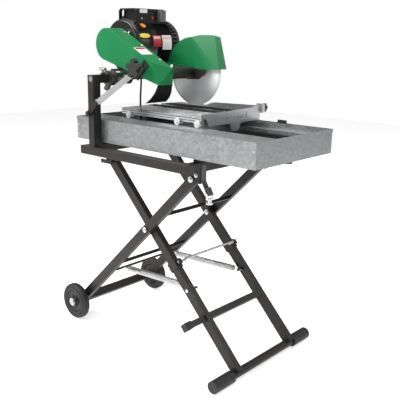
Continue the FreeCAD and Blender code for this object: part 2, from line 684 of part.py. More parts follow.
def rocker_switch():
    """Rocker whose two faces lean either way from its own axle."""
    x = s.motor_x + 51
    z = s.motor_z + 111
    points = [(x - 8, z - 14), (x + 1, z - 14), (x + 2.5, z), (x + 5, z + 14), (x - 8, z + 14)]
    axle = rod("rockerAxle", 2.8, 20.4, (x - 6, 79.8, z))
    return fuse("rockerSwitch", slab("rocker", points, 19, 80.5), axle)


def switch_guard():
    """Clear hood over the rocker, open below, with a side flange on the box."""
    x = s.motor_x + 51
    z = s.motor_z + 90
    outer = block("hoodOuter", (18, 32, 44), (x, 74, z))
    inner = block("hoodInner", (16, 28, 50), (x - 1, 76, z - 8))
    return cut("switchGuard", outer, inner)


def lift_handle():
    """Flat strap bent to a bridge over the motor's near end."""
    y = -46
    low = s.motor_z + 60
    high = s.motor_z + 138
    left, right = s.motor_x - 46, s.motor_x + 52
    points = [(left, low), (left + 4, low), (left + 4, high - 10), (left + 12, high - 4),
              (right - 12, high - 4),
              (right - 4, high - 10), (right - 4, low), (right, low), (right, high - 8), (right - 10, high),
              (left + 10, high), (left, high - 8)]
    bridge = slab("handleBridge", points, 16, y)
    return cut("liftHandle", bridge, rod("handleMotorCut", "motor_radius + running_fit", 300,
                                         (s.motor_x, -100, s.motor_z)))


def guard_outline(inset):
    """Blade guard outline: an arc over the blade's back, a crowned top and a steep front end."""
    x, z = s.spindle_x, s.spindle_z
    radius = s.guard_radius - inset

    def on_arc(degrees):
        angle = math.radians(degrees)
        return (x + radius * math.cos(angle), z + radius * math.sin(angle))

    front_top = (x + 102 - inset, z + 134 - inset)
    crown = (x + 46, z + 142 - inset)
    points = [on_arc(166), on_arc(91), front_top, (x + 136 - inset, z + 17), (x + 72, z + 12)]
    return points, [(0, on_arc(128)), (1, crown)]


def blade_guard():
    """Blade guard, open below, with a bevelled near front corner and a shelf on its near side."""
    x, z = s.spindle_x, s.spindle_z
    near = s.blade_y - s.guard_wide / 2
    wall = s.guard_wall
    corners = ((x - 1, near, z + 132), (x + 130, near, z + 17), (x + 101, near + 16, z + 134))
    points, arcs = guard_outline(0)
    outer = cut("guardBevelled", slab("guardOuter", points, "guard_wide", near, arcs),
                wedge("guardBevel", corners, 0))
    points, arcs = guard_outline(wall)
    inner = slab("guardInner", points, "guard_wide - 2 * guard_wall", near + wall, arcs)
    points = [(x - s.guard_radius + 6, z + 40), (x + 127, z + 40), (x + 133.5, z + 17),
              (x + 133.5, z), (x - s.guard_radius + 6, z)]
    mouth = slab("guardMouth", points, "guard_wide - 2 * guard_wall", near + wall)
    hollow = cut("guardHollow", fuse("guardInside", inner, mouth), wedge("guardBevel", corners, wall))
    shelf_points = [(x - 128, z + 31), (x - 24, z + 21), (x - 24, z + 24), (x - 128, z + 34)]
    shelf = slab("guardShelf", shelf_points, 14, near - 14)
    return fuse("bladeGuard", cut("guardShell", outer, hollow), shelf)


def splash_flap():
    """Curved rubber flap behind the blade, wider at its foot."""
    top = (-190.9, 1009)
    foot = (-226, 938)
    middle = (-198, 968)
    points = [top, (top[0] - 4, top[1]), (foot[0] - 4, foot[1]), foot]
    arcs = [(1, (middle[0] - 4, middle[1])), (3, middle)]
    sheet_part = slab("flapSheet", points, 112, -62, arcs)
    frame = BASE.multiply(Placement(Vector(-210, -62, 938), Rotation(Vector(1, 0, 0), -26)))
    return cut("splashFlap", sheet_part, block("flapTrim", (120, 80, 160), (-60, -80, 0), frame))


# ---- spindle and blade -----------------------------------------------------------------------------------
def spindle():
    length = s.blade_y + 24 - (s.cover_near + 10)
    return rod("spindle", "spindle_radius", length, (s.spindle_x, s.cover_near + 10, s.spindle_z))


def blade():
    """Continuous rim diamond blade: a steel core and a slightly thicker rim."""
    half = s.blade_thick / 2
    rim = half + 0.3
    points = [(s.spindle_radius, -half), (s.blade_radius - 8, -half), (s.blade_radius - 8, -rim),
              (s.blade_radius, -rim), (s.blade_radius, rim), (s.blade_radius - 8, rim),
              (s.blade_radius - 8, half), (s.spindle_radius, half)]
    return turned("blade", points, BASE.multiply(Placement(Vector(s.spindle_x, s.blade_y, s.spindle_z),
                                                           ALONG["Y"])))


def blade_flanges():
    """Two clamp flanges and the arbor nut."""
    half = s.blade_thick / 2
    parts = []
    for low, length in ((s.blade_y - half - 12, 12), (s.blade_y + half, 8)):
        parts.append(ring("flange", 26, "spindle_radius", length, (s.spindle_x, low, s.spindle_z)))
    nut = new("Part::Prism", "arborNut")
    bind(nut, Polygon=6, Circumradius=17, Height=11)
    nut.Placement = BASE.multiply(Placement(Vector(s.spindle_x, s.blade_y + half + 8, s.spindle_z),
                                            ALONG["Y"]))
    bore = rod("nutBore", "spindle_radius", 14, (s.spindle_x, s.blade_y + half + 7, s.spindle_z))
    parts.append(cut("arborNut", nut, bore))
    return group("bladeFlanges", *parts)


# ---- lock arm --------------------------------------------------------------------------------------------
def lock_arm():
    """Lower link on the post, and the square tube that leads to the cover's slot plate with its stud."""
    face = -s.frame_half - 3
    link_top = (-272, 951)
    lean = math.atan2(link_top[1] - lock_z, link_top[0] - lock_x)
    reach = math.hypot(link_top[1] - lock_z, link_top[0] - lock_x)
    link_frame = BASE.multiply(Placement(Vector(lock_x, face - 6, lock_z),
                                         Rotation(Vector(0, 1, 0), -math.degrees(lean))))
    link = fuse("linkBody", block("linkBar", (reach + 8, 6, 20), (0, 0, -10), link_frame),
                rod("linkEye", 10, 6, (0, 0, 0), "Y", link_frame))
    pin = rod("linkPin", 6, 40, (lock_x, face - 10, lock_z))
    head = rod("linkHead", 10, 5, (lock_x, face - 11, lock_z))
    start = Vector(link_top[0], face + 4, link_top[1])
    end = Vector(stud_x, s.cover_near - 18, stud_z)
    along = (end - start).normalize()
    turn = Rotation(Vector(), Vector(0, 0, 1).cross(along), along, "ZYX")
    frame = BASE.multiply(Placement(start, turn))
    length = (end - start).Length
    outer = block("armOuter", (20, 20, length + 12), (-10, -10, 0), frame)
    inner = block("armInner", (16, 16, length + 4), (-8, -8, -2), frame)
    stud = rod("armStud", 4, 46, (stud_x, s.cover_near - 47.2, stud_z))
    near_flat = rod("armFlat", 39, 60, (stud_x, s.cover_near - 93.5, stud_z))
    far_flat = rod("armFlat", 39, 60, (stud_x, s.cover_near - 8, stud_z))
    arm = fuse("armBody", cut("armTube", outer, inner, near_flat, far_flat), stud)
    return group("lockArm", fuse("lockLink", link, pin, head), cut("armSquare", arm, link, pin))


def star_knob(stem, frame, radius, depth, bore, lobes=5):
    """Hub with round lobes."""
    core = rod(stem + "Core", radius * 0.62, depth, (0, 0, 0), "Z", frame)
    parts = [core]
    for number in range(lobes):
        angle = math.radians(90 + 360 * number / lobes)
        place = (radius * 0.7 * math.cos(angle), radius * 0.7 * math.sin(angle), 0)
        parts.append(rod(stem + "Lobe", radius * 0.3, depth, place, "Z", frame))
    return cut(stem, fuse(stem + "Body", *parts), rod(stem + "Bore", bore, depth - 6, (0, 0, -1), "Z", frame))


def lock_knob():
    frame = BASE.multiply(Placement(Vector(stud_x, s.cover_near - 34, stud_z), Rotation(Vector(1, 0, 0), 90)))
    return star_knob("lockKnob", frame, 36, 22, 4 + s.running_fit)


# ---- cart ------------------------------------------------------------------------------------------------
axle_z = s.pan_top + s.roller_radius + s.running_fit
roller_xs = (s.cart_left + 47, s.cart_left + 309, s.cart_right - 14)
roller_near_y = s.cart_near - 9
roller_far_y = s.pan_width / 2 - s.rail_inset - s.rail_width / 2 - s.roller_wide / 2


def cart_frame():
    """Two side rails on three cross bars; the bars are bored for the roller axles."""
    low = s.pan_top + 5
    high = s.table_top - s.table_thick
    length = s.cart_right - s.cart_left
    inside = s.cart_far - s.cart_near - 24
    sides = [block("cartSide", (length, 12, high - low - 10), (s.cart_left, y, low + 10))
             for y in (s.cart_near + 1, s.cart_far - 13)]
    bars = [block("cartBar", (20, inside, high - low), (x - 10, s.cart_near + 12, low)) for x in roller_xs]
    axles = [rod("axleBore", "4 + running_fit", 420, (x, s.cart_near - 40, axle_z)) for x in roller_xs]
    wells = [block("rollerWell", (2 * s.roller_radius + 6, s.roller_wide + 3, 2 * s.roller_radius),
                   (x - s.roller_radius - 3, roller_far_y - 1.5, s.pan_top + 3)) for x in roller_xs]
    slot = block("bladeSlot", (length + 40, "slot_width + 12", 60),
                 (s.cart_left - 20, s.blade_y - s.slot_width / 2 - 6, low + 15))
    return cut("cartFrame", fuse("cartBody", *sides, *bars), slot, *wells, *axles)


def table_plates():
    low = s.table_top - s.table_thick
    length = "cart_right - cart_left"
    near_wide = s.blade_y - s.slot_width / 2 - s.cart_near
    far_start = s.blade_y + s.slot_width / 2
    near = block("tableNear", (length, near_wide, "table_thick"), (s.cart_left, s.cart_near, low))
    far = block("tableFar", (length, s.cart_far - far_start, "table_thick"), (s.cart_left, far_start, low))
    return group("tablePlates", near, far)


def table_ribs():
    """Raised rubber strips along the table on both sides of the blade slot."""
    parts = []
    for y in (30, 52, 104, 126, 147):
        parts.append(block("rib", ("cart_right - cart_left - 8", 5, 2.4),
                           (s.cart_left + 4, y - 2.5, s.table_top)))
    return group("tableRibs", *parts)


def side_rail():
    """Low guide along the table's far edge that rises towards the fence."""
    left = s.cart_left + 150
    right = s.cart_right - 1
    points = [(left, s.table_top), (right, s.table_top), (right, s.table_top + 20),
              (left + 60, s.table_top + 14)]
    return slab("sideRail", points, 3, s.cart_far - 3.2, [(3, (left + 22, s.table_top + 9))])


def fence_plate():
    """Upright plate across the cart's end: clamp slots, a rounded near foot and a raised far end."""
    low, high = s.fence_low, s.fence_high
    points = [(s.cart_near - 7, low + 30), (s.cart_near + 24, low + 26), (s.cart_near + 34, low),
              (s.cart_far, low),
              (s.cart_far, high + 7), (s.cart_far - 20, high + 6), (s.cart_far - 56, high),
              (s.cart_far - 160, high - 3),
              (s.cart_near + 130, high - 5), (s.cart_near - 7, high - 5)]
    slots = []
    for y in (21, 81, 136):
        slots.append([(y - 2, high - 32), (y + 2, high - 32), (y + 2, high - 12), (y - 2, high - 12)])
    # the plate's own axes: x along the cart's width, y up, z along the pan
    frame = BASE.multiply(Placement(Vector(s.cart_right, 0, 0), Rotation(Vector(1, 1, 1), 120)))
    return padded("fencePlate", points, "fence_thick", frame, [(106, high - 34, 5)], slots)


def fence_clamp():
    """Clamp block on the fence's far end with a threaded bore for its knob."""
    block_part = block("clampBlock", (30, 16, 34), (s.cart_right - 14, s.cart_far, s.table_top - 8))
    bore = rod("clampBore", 4, 20, (s.cart_right + 2, s.cart_far - 1, s.table_top + 9), "Y")
    return cut("fenceClamp", block_part, bore)


def fence_knob():
    frame = BASE.multiply(Placement(Vector(s.cart_right + 2, s.cart_far + 16.4, s.table_top + 9), ALONG["Y"]))
    head = star_knob("fenceHead", frame, 17, 24, 1, 2)
    stem = rod("knobStem", 3.9, 15, (0, 0, -14), "Z", frame)
    return fuse("fenceKnob", head, stem)


def drip_chute():
    """Tapered water spout below the fence plate, in line with the blade slot."""
    low = s.fence_low
    points = [(s.blade_y - 34, low), (s.blade_y + 34, low), (s.blade_y + 20, low - 32),
              (s.blade_y - 20, low - 32)]
    frame = BASE.multiply(Placement(Vector(s.cart_right - 10, 0, 0), Rotation(Vector(1, 1, 1), 120)))
    plate = padded("chutePlate", points, 3, frame)
    lip = block("chuteLip", (10, 68, 3), (s.cart_right - 8, s.blade_y - 34, low - 3))
    return fuse("dripChute", plate, lip)


def rollers(x):
    """Nylon rollers at both ends of their steel axle."""
    length = roller_far_y + s.roller_wide + 3 - (roller_near_y - 3)
    axle = rod("rollerAxle", 4, length, (x, roller_near_y - 3, axle_z))
    wheels = [ring("roller", "roller_radius", 4, "roller_wide", (x, y, axle_z))
              for y in (roller_near_y, roller_far_y)]
    return group("rollers", axle, *wheels)


# ---- folding legs ----------------------------------------------------------------------------------------
hinge = BASE.multiply(Placement(Vector(s.hinge_x, 0, s.hinge_z), Rotation(Vector(0, 1, 0), s.wheel_lean)))
slider = BASE.multiply(Placement(Vector(slide_x, 0, slide_z), Rotation(Vector(0, 1, 0), -s.foot_lean)))
foot_reach = (slide_z - s.foot_inset * foot_sin - s.foot_height) / foot_cos
foot_x = slide_x + foot_reach * foot_sin - s.foot_inset * foot_cos
pin_fit = 6 + s.running_fit

# distances down a leg from its top pin
upper_tie_reach = s.leg_reach - 116
lower_tie_reach = s.leg_reach + 242
spring_rod_reach = s.leg_reach + 300
spring_pin_reach = s.leg_reach + 280
lock_reach = s.leg_reach + 172
rung_reach = s.leg_reach + 400
stub_y = -s.inner_y - s.leg_thick / 2 - 100


def leg_pair(stem, frame, centre, length, end, bores, trim=()):
    """Two square tube legs: bores are (distance down the leg, radius)."""
    parts = []
    for side in (-1, 1):
        y = side * centre - s.leg_thick / 2
        holes = [rod(stem + "Hole", radius, 60, (0, y - 10, -down), "Y", frame) for down, radius in bores]
        holes += [item() for item in trim]
        parts.append(tube(stem, length + end, "leg_wide", "leg_thick", (-s.leg_wide / 2, y, -length), frame,
                          holes))
    return group(stem, *parts)


def wheel_legs():
    bores = [(0, pin_fit), (s.leg_reach, pin_fit), (axle_reach, s.axle_radius)]
    return leg_pair("wheelLeg", hinge, s.outer_y, axle_reach + 25, 10, bores)


def foot_legs():
    bores = [(0, 6), (s.leg_reach, pin_fit)]
    bar_cut = [lambda: rod("footCut", "foot_radius + running_fit", 600, (-s.foot_inset, -300, -foot_reach),
                           "Y", slider)]
    return leg_pair("footLeg", slider, s.inner_y, foot_reach - 2, 8, bores, bar_cut)


def leg_ties():
    """Axle bar, two tie rods and the spring rod between the wheel legs."""
    inside = 2 * s.outer_y - s.leg_thick
    y = -inside / 2
    bar = tube("axleBar", inside, "leg_wide", "leg_thick", (-s.leg_wide / 2, -s.leg_thick / 2, 0),
               hinge.multiply(Placement(Vector(0, y, -axle_reach + 1), ALONG["Y"])))
    upper = block("upperTie", (14, inside, 7), (s.tie_side - 9, y, -upper_tie_reach - 3.5), hinge)
    lower = block("lowerTie", (14, inside, 6), (s.tie_side - 9, y, -lower_tie_reach - 3), hinge)
    spring_rod = rod("springRod", 5, inside, (s.spring_side, y, -spring_rod_reach), "Y", hinge)
    return group("legTies", bar, upper, lower, spring_rod)


def wheel_axle():
    """Axle with a washer and a hex nut beyond each wheel."""
    out = s.outer_y + s.leg_thick / 2 + s.wheel_gap + s.wheel_wide + 12
    rods = [rod("axleRod", "axle_radius", 2 * out, (0, -out, -axle_reach), "Y", hinge)]
    for side in (-1, 1):
        near = side * (out - 11.5) if side > 0 else -out + 3.5
        nut = new("Part::Prism", "axleNut")
        bind(nut, Polygon=6, Circumradius=14, Height=8)
        nut.Placement = hinge.multiply(Placement(Vector(0, near, -axle_reach), ALONG["Y"]))
        rods.append(nut)
    for side in (-1, 1):
        y = side * (s.outer_y + s.leg_thick / 2 + s.wheel_gap / 2) - s.wheel_gap / 2 + 0.2
        rods.append(rod("axleWasher", 14, "wheel_gap - 0.4", (0, y, -axle_reach), "Y", hinge))
    return fuse("wheelAxle", *rods)


def stand_wheel(side):
    """Solid tyre on a dished hub; the hub runs on the axle."""
    centre = side * (s.outer_y + s.leg_thick / 2 + s.wheel_gap + s.wheel_wide / 2)
    half = s.wheel_wide / 2
    radius, hub, bore = s.wheel_radius, s.hub_radius, s.axle_radius + s.running_fit
    crown = 9
    tyre = [(hub, -half + 3), (radius - 14, -half + 1), (radius - crown, -half + 1), (radius, -half + crown),
            (radius, half - crown), (radius - crown, half - 1), (radius - 14, half - 1), (hub, half - 3)]
    disc = [(bore, -half), (18, -half), (22, -half + 9), (hub - 8, -half + 7), (hub, -half + 3),
            (hub, half - 3),
            (hub - 8, half - 7), (22, half - 9), (18, half), (bore, half)]
    frame = hinge.multiply(Placement(Vector(0, centre, -axle_reach), ALONG["Y"]))
    return turned("tyre", tyre, frame), turned("hub", disc, frame)


def springs():
    """Two extension springs from the spring rod to the foot legs: closed coils with a stem at each end."""
    parts = []
    start = Vector(s.hinge_x, 0, s.hinge_z) + Vector(-wheel_sin, 0, -wheel_cos) * spring_rod_reach
    start += Vector(wheel_cos, 0, -wheel_sin) * s.spring_side
    end = Vector(slide_x, 0, slide_z) + Vector(foot_sin, 0, -foot_cos) * spring_pin_reach
    along = end - start
    lean = math.degrees(math.atan2(along.z, along.x))
    for y in (-136, 136):
        frame = BASE.multiply(Placement(Vector(start.x, y, start.z), Rotation(Vector(0, 1, 0), 90 - lean)))
        coil = ring("springCoil", 12.5, 9, along.Length - 64, (0, 0, 32), "Z", frame)
        caps = [rod("springCap", 12.5, 3, (0, 0, at), "Z", frame) for at in (30, along.Length - 35)]
        stems = [rod("springStem", 2.5, 22, (0, 0, 9), "Z", frame),
                 rod("springStem", 2.5, 22, (0, 0, along.Length - 33), "Z", frame)]
        eyes = [ring("springEye", 9.5, 5.4, 4, (0, -2, at), "Y", frame) for at in (0, along.Length)]
        hooks = [cut("springHook", stem, rod("hookCut", 5.4, 12, (0, -6, at), "Y", frame))
                 for stem, at in zip(stems, (0, along.Length))]
        parts.append(fuse("spring", coil, *caps, *eyes, *hooks))
    return group("springs", *parts)


def pivot_bolts():
    """Bolts where the legs cross and where the wheel legs hinge on the gussets."""
    parts = []
    for side in (-1, 1):
        outer = side * (s.outer_y + s.leg_thick / 2)
        inner = side * (s.inner_y - s.leg_thick / 2)
        head = 5 * side
        low = min(outer + head, inner - head)
        length = abs(outer + head - inner + head)
        parts.append(fuse("crossBolt", rod("crossPin", 6, length, (0, low, -s.leg_reach), "Y", hinge),
                          rod("crossHead", 11, 4.6, (0, outer + (0.4 if side > 0 else -5), -s.leg_reach),
                              "Y", hinge),
                          rod("crossNut", 10, 4.6, (0, inner - (5 if side > 0 else -0.4), -s.leg_reach), "Y",
                              hinge)))
        wide = s.leg_thick + 24
        y = side * s.outer_y - wide / 2
        parts.append(fuse("hingeBolt", rod("hingePin", 6, wide, (0, y, 0), "Y", hinge),
                          rod("hingeHead", 11, 5, (0, y, 0), "Y", hinge),
                          rod("hingeNut", 10, 5, (0, y + wide - 5, 0), "Y", hinge)))
    return group("pivotBolts", *parts)


def rubber_sleeves():
    """Foot sleeves with a flat sole, and the bumper of the rest stub."""
    x = foot_x
    parts = []
    length = s.foot_half - s.inner_y - s.leg_thick / 2 - 12
    for side in (-1, 1):
        y = -s.foot_half if side < 0 else s.foot_half - length
        outer = rod("sleeveOuter", "foot_radius + sleeve_wall", length, (x, y, s.foot_height))
        inner = rod("sleeveInner", "foot_radius + running_fit", length - 4,
                    (x, y + (4 if side < 0 else 0), s.foot_height))
        sole = block("sleeveSole", (80, length + 2, 10), (x - 40, y - 1, -10))
        parts.append(cut("sleeve", outer, inner, sole))
    stub = slider_at(rung_reach, stub_y)
    parts.append(cut("bumper", block("bumperOuter", (28, 32, 28), (-14, -4, -14), stub),
                     block("bumperInner", (22, 32, 22), (-11, 0, -11), stub)))
    return group("rubberSleeves", *parts)


def slider_at(reach, y):
    return slider.multiply(Placement(Vector(0, y, -reach), Rotation()))


def foot_bars():
    """Foot bar, rung, rest stub, spring pins and the pins that run in the slide brackets."""
    inside = 2 * s.inner_y - s.leg_thick
    bar = rod("footBar", "foot_radius", "2 * foot_half - 8", (-s.foot_inset, -s.foot_half + 4, -foot_reach),
              "Y",
              slider)
    rung_frame = slider.multiply(Placement(Vector(0, -inside / 2, -rung_reach), ALONG["Y"]))
    rung = tube("rung", inside, "leg_wide", "leg_thick", (-s.leg_wide / 2, -s.leg_thick / 2, 0), rung_frame)
    stub = block("restStub", (22, 100, 22), (-11, 0, -11), slider_at(rung_reach, stub_y))
    parts = [bar, rung, stub]
    for side in (-1, 1):
        inner = side * (inside / 2)
        length = s.leg_thick + 19
        parts.append(rod("springPin", 5, 28, (0, min(inner, inner - 28 * side), -spring_pin_reach), "Y",
                         slider))
        outer = side * (s.inner_y + s.leg_thick / 2)
        parts.append(rod("springPinHead", 7, 4, (0, min(outer, outer + 4 * side), -spring_pin_reach), "Y",
                         slider))
        start = inner - 3 * side
        parts.append(rod("topPin", 6, length, (0, min(start, start + length * side), 0), "Y", slider))
    return group("footBars", *parts, *lock_blocks())


def lock_blocks():
    """Clips around the foot legs that hold the lock wire."""
    parts = []
    frame = slider_at(lock_reach, 0)
    wide = s.leg_wide / 2
    for side in (-1, 1):
        y = side * s.inner_y
        outer = block("lockOuter", (2 * wide + 10, s.leg_thick + 5, 36),
                      (-wide - 5, y - s.leg_thick / 2 - 2.5, -18),
                      frame)
        inner = block("lockInner", ("leg_wide", "leg_thick", 40), (-wide, y - s.leg_thick / 2, -20), frame)
        boss = block("lockBoss", (16, 14, 20), (wide + 5, y - 7, -10), frame)
        eye = rod("lockEye", "wire_radius + running_fit", 40, (wide + 12, y - 20, 0), "Y", frame)
        parts.append(cut("lockBlock", fuse("lockBody", outer, boss), inner, eye))
    return parts


def lock_wire():
    """Round wire that turns in both clips, with a cranked middle."""
    half = s.inner_y
    frame = slider_at(lock_reach, 0)
    x = s.leg_wide / 2 + 12
    ends = [rod("wireEnd", "wire_radius", 40, (x, y, 0), "Y", frame) for y in (-half - 8, half - 32)]
    crank = [rod("wireCrank", "wire_radius", 20, (x, y, 0), "X", frame) for y in (-half + 27.5, half - 27.5)]
    middle = rod("wireMiddle", "wire_radius", 2 * half - 46, (x + 16, -half + 23, 0), "Y", frame)
    return fuse("lockWire", *ends, *crank, middle)


tyre_near, hub_near = stand_wheel(-1)
tyre_far, hub_far = stand_wheel(1)
PIECES = {
    "water_pan": water_pan(),
    "pan_rubbers": pan_rubbers(),
    "water_pump": water_pump(),
    "pump_cord": cord("pumpCord", PUMP_CORD, s.pump_cord_radius),
    "stand_frame": stand_frame(),
    "end_caps": end_caps(),
    "post": post(),
    "frame_bolts": frame_bolts(),
    "leg_brackets": leg_brackets(),
    "strap_band": strap_band(),
    "strap_hook": strap_hook(),
    "t_screw": t_screw(),
    "pivot_shaft": pivot_shaft(),
    "pivot_sleeve": pivot_sleeve(),
    "base_plate": base_plate(),
    "spindle_housing": spindle_housing(),
    "motor_shell": motor_shell(),
    "rotor": rotor(),
    "spindle_pulley": pulley("spindlePulley", s.spindle_x, s.spindle_z, s.small_pulley, s.spindle_radius),
    "drive_belt": drive_belt(),
    "belt_cover": belt_cover(),
    "cover_bolts": cover_bolts(),
    "slot_plate": slot_plate(),
    "junction_box": junction_box(),
    "overload_button": overload_button(),
    "rocker_switch": rocker_switch(),
    "switch_guard": switch_guard(),
    "lift_handle": lift_handle(),
    "motor_lead": cord("motorLead", MOTOR_LEAD, s.lead_radius),
    "blade_guard": blade_guard(),
    "splash_flap": splash_flap(),
    "spindle": spindle(),
    "blade": blade(),
    "blade_flanges": blade_flanges(),
    "lock_arm": lock_arm(),
    "lock_knob": lock_knob(),
    "cart_frame": cart_frame(),
    "table_plates": table_plates(),
    "table_ribs": table_ribs(),
    "side_rail": side_rail(),
    "rollers_left": rollers(roller_xs[0]),
    "rollers_middle": rollers(roller_xs[1]),
    "rollers_right": rollers(roller_xs[2]),
    "fence_plate": fence_plate(),
    "fence_clamp": fence_clamp(),
    "fence_knob": fence_knob(),
    "drip_chute": drip_chute(),
    "wheel_legs": wheel_legs(),
    "leg_ties": leg_ties(),
    "wheel_axle": wheel_axle(),
    "tyre_near": tyre_near,
    "tyre_far": tyre_far,
    "hub_near": hub_near,
    "hub_far": hub_far,
    "springs": springs(),
    "pivot_bolts": pivot_bolts(),
    "foot_legs": foot_legs(),
    "foot_bars": foot_bars(),
    "lock_wire": lock_wire(),
    "rubber_sleeves": rubber_sleeves(),
}

doc.recompute()
for item in doc.Objects:
    if {"Invalid", "Error"} & set(item.State):
        print("bad object", item.Name, item.State)
for label, item in PIECES.items():
    item.Label = label
    shape = item.Shape
    if shape.isNull() or not shape.isValid():
        print("bad shape", label)
        continue
    print(label, len(shape.Solids), round(shape.Volume / 1000, 1))
    shape.exportStep("parts/" + label + ".step")
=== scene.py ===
import json
import math
import bmesh
import bpy
from mathutils import Matrix, Vector


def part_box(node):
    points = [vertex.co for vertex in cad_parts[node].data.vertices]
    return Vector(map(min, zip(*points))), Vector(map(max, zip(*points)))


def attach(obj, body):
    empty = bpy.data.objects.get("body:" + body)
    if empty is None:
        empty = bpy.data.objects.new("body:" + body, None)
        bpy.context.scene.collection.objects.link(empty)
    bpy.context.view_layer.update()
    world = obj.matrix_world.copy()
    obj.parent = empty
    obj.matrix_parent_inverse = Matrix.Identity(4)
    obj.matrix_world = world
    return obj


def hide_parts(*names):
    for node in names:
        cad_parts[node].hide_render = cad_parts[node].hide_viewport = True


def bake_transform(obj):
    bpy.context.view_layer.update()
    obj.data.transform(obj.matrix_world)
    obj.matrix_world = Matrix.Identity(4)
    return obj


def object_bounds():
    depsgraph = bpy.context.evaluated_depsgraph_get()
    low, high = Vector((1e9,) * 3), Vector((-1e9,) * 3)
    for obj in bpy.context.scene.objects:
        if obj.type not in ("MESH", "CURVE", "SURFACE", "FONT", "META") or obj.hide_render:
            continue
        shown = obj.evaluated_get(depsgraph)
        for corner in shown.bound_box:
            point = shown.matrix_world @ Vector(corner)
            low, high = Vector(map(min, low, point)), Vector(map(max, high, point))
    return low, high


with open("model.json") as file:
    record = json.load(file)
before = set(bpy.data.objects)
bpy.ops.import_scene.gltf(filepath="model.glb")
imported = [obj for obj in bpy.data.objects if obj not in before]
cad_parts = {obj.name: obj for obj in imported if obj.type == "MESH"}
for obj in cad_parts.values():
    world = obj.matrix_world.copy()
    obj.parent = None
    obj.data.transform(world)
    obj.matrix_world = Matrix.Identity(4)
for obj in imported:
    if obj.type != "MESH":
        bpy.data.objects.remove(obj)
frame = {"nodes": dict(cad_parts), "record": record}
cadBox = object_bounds()
nodes = frame["nodes"]
record = frame["record"]
bodyOf = {node: body for body, members in record["behaviour"]["bodies"].items() for node in members}
slotOf = {part["node"]: part["material_slot"] for part in record["subparts"]}
print("frame loaded:", len(nodes), "nodes")


def middle(node):
    low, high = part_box(node)
    return (low + high) / 2


# ---------- shader maths: a socket that adds its own Math nodes ----------
class Wire:
    def __init__(self, owner, socket):
        self.owner = owner
        self.socket = socket

    def sum(self, operation, *values):
        sockets = dict(enumerate((self,) + values))
        return self.owner.node("ShaderNodeMath", {"operation": operation}, sockets)

    def __add__(self, other):
        return self.sum("ADD", other)

    def __radd__(self, other):
        return self.sum("ADD", other)

    def __sub__(self, other):
        return self.sum("SUBTRACT", other)

    def __rsub__(self, other):
        return self.sum("MULTIPLY", -1.0) + other

    def __mul__(self, other):
        return self.sum("MULTIPLY", other)

    def __rmul__(self, other):
        return self.sum("MULTIPLY", other)

    def __truediv__(self, other):
        return self.sum("DIVIDE", other)

    def __gt__(self, other):
        return self.sum("GREATER_THAN", other)

    def __lt__(self, other):
        return self.sum("LESS_THAN", other)

    def power(self, other):
        return self.sum("POWER", other)

    def sine(self):
        return self.sum("SINE")

    def clamped(self):
        return self.owner.node("ShaderNodeClamp", {}, {0: self})


class Tree:
    # any node tree: node() adds a node, sets it and wires it in one line
    def node(self, kind, settings, sockets, output=0):
        made = self.tree.nodes.new(kind)
        for name, value in settings.items():
            if name == "stops":
                ramp = made.color_ramp.elements
                while len(ramp) < len(value):
                    ramp.new(0.5)
                for element, (position, color) in zip(ramp, value):
                    element.position = position
                    element.color = (*color, 1.0) if isinstance(color, tuple) else (color, color, color, 1.0)
            else:
                setattr(made, name, value)
        for name, value in sockets.items():
            self.feed(made.inputs[name], value)
        return Wire(self, made.outputs[output])

    def feed(self, socket, value):
        for one in (value if isinstance(value, list) else [value]):
            if isinstance(one, Wire):
                self.tree.links.new(one.socket, socket)
            elif isinstance(one, tuple) and len(one) == 3 and socket.type == "RGBA":
                socket.default_value = (*one, 1.0)
            else:
                socket.default_value = one


class Paint(Tree):
    def __init__(self, name):
        self.material = bpy.data.materials.new(name)
        self.material.use_nodes = True
        self.tree = self.material.node_tree
        self.shader = self.tree.nodes["Principled BSDF"]
        self.place = self.node("ShaderNodeTexCoord", {}, {}, "Object")

    def stretched(self, scale):
        return self.node("ShaderNodeVectorMath", {"operation": "MULTIPLY"}, {0: self.place, 1: scale})

    def noise(self, scale, detail=4.0, stretch=None, rough=0.5):
        where = self.stretched(stretch) if stretch else self.place
        return self.node("ShaderNodeTexNoise", {}, {"Vector": where, "Scale": scale, "Detail": detail,
                                                     "Roughness": rough})

    def ramp(self, value, *stops):
        return self.node("ShaderNodeValToRGB", {"stops": stops}, {0: value})

    def blend(self, factor, first, second):
        return self.node("ShaderNodeMix", {"data_type": "RGBA"}, {0: factor, 6: first, 7: second}, 2)

    def axes(self, vector=None):
        where = vector or self.place
        return [self.node("ShaderNodeSeparateXYZ", {}, {0: where}, axis) for axis in range(3)]

    def facing(self):
        normal = self.node("ShaderNodeNewGeometry", {}, {}, "Normal")
        return self.axes(normal)

    def finish(self, color, roughness, metallic=0.0, bump=None, strength=0.3, distance=0.0004, **plain):
        self.feed(self.shader.inputs["Base Color"], color)
        self.feed(self.shader.inputs["Roughness"], roughness)
        self.feed(self.shader.inputs["Metallic"], metallic)
        for name, value in plain.items():
            self.shader.inputs[name.replace("_", " ")].default_value = value
        if bump is not None:
            relief = self.node("ShaderNodeBump", {}, {"Height": bump, "Strength": strength, "Distance": distance})
            self.feed(self.shader.inputs["Normal"], relief)
        return self.material


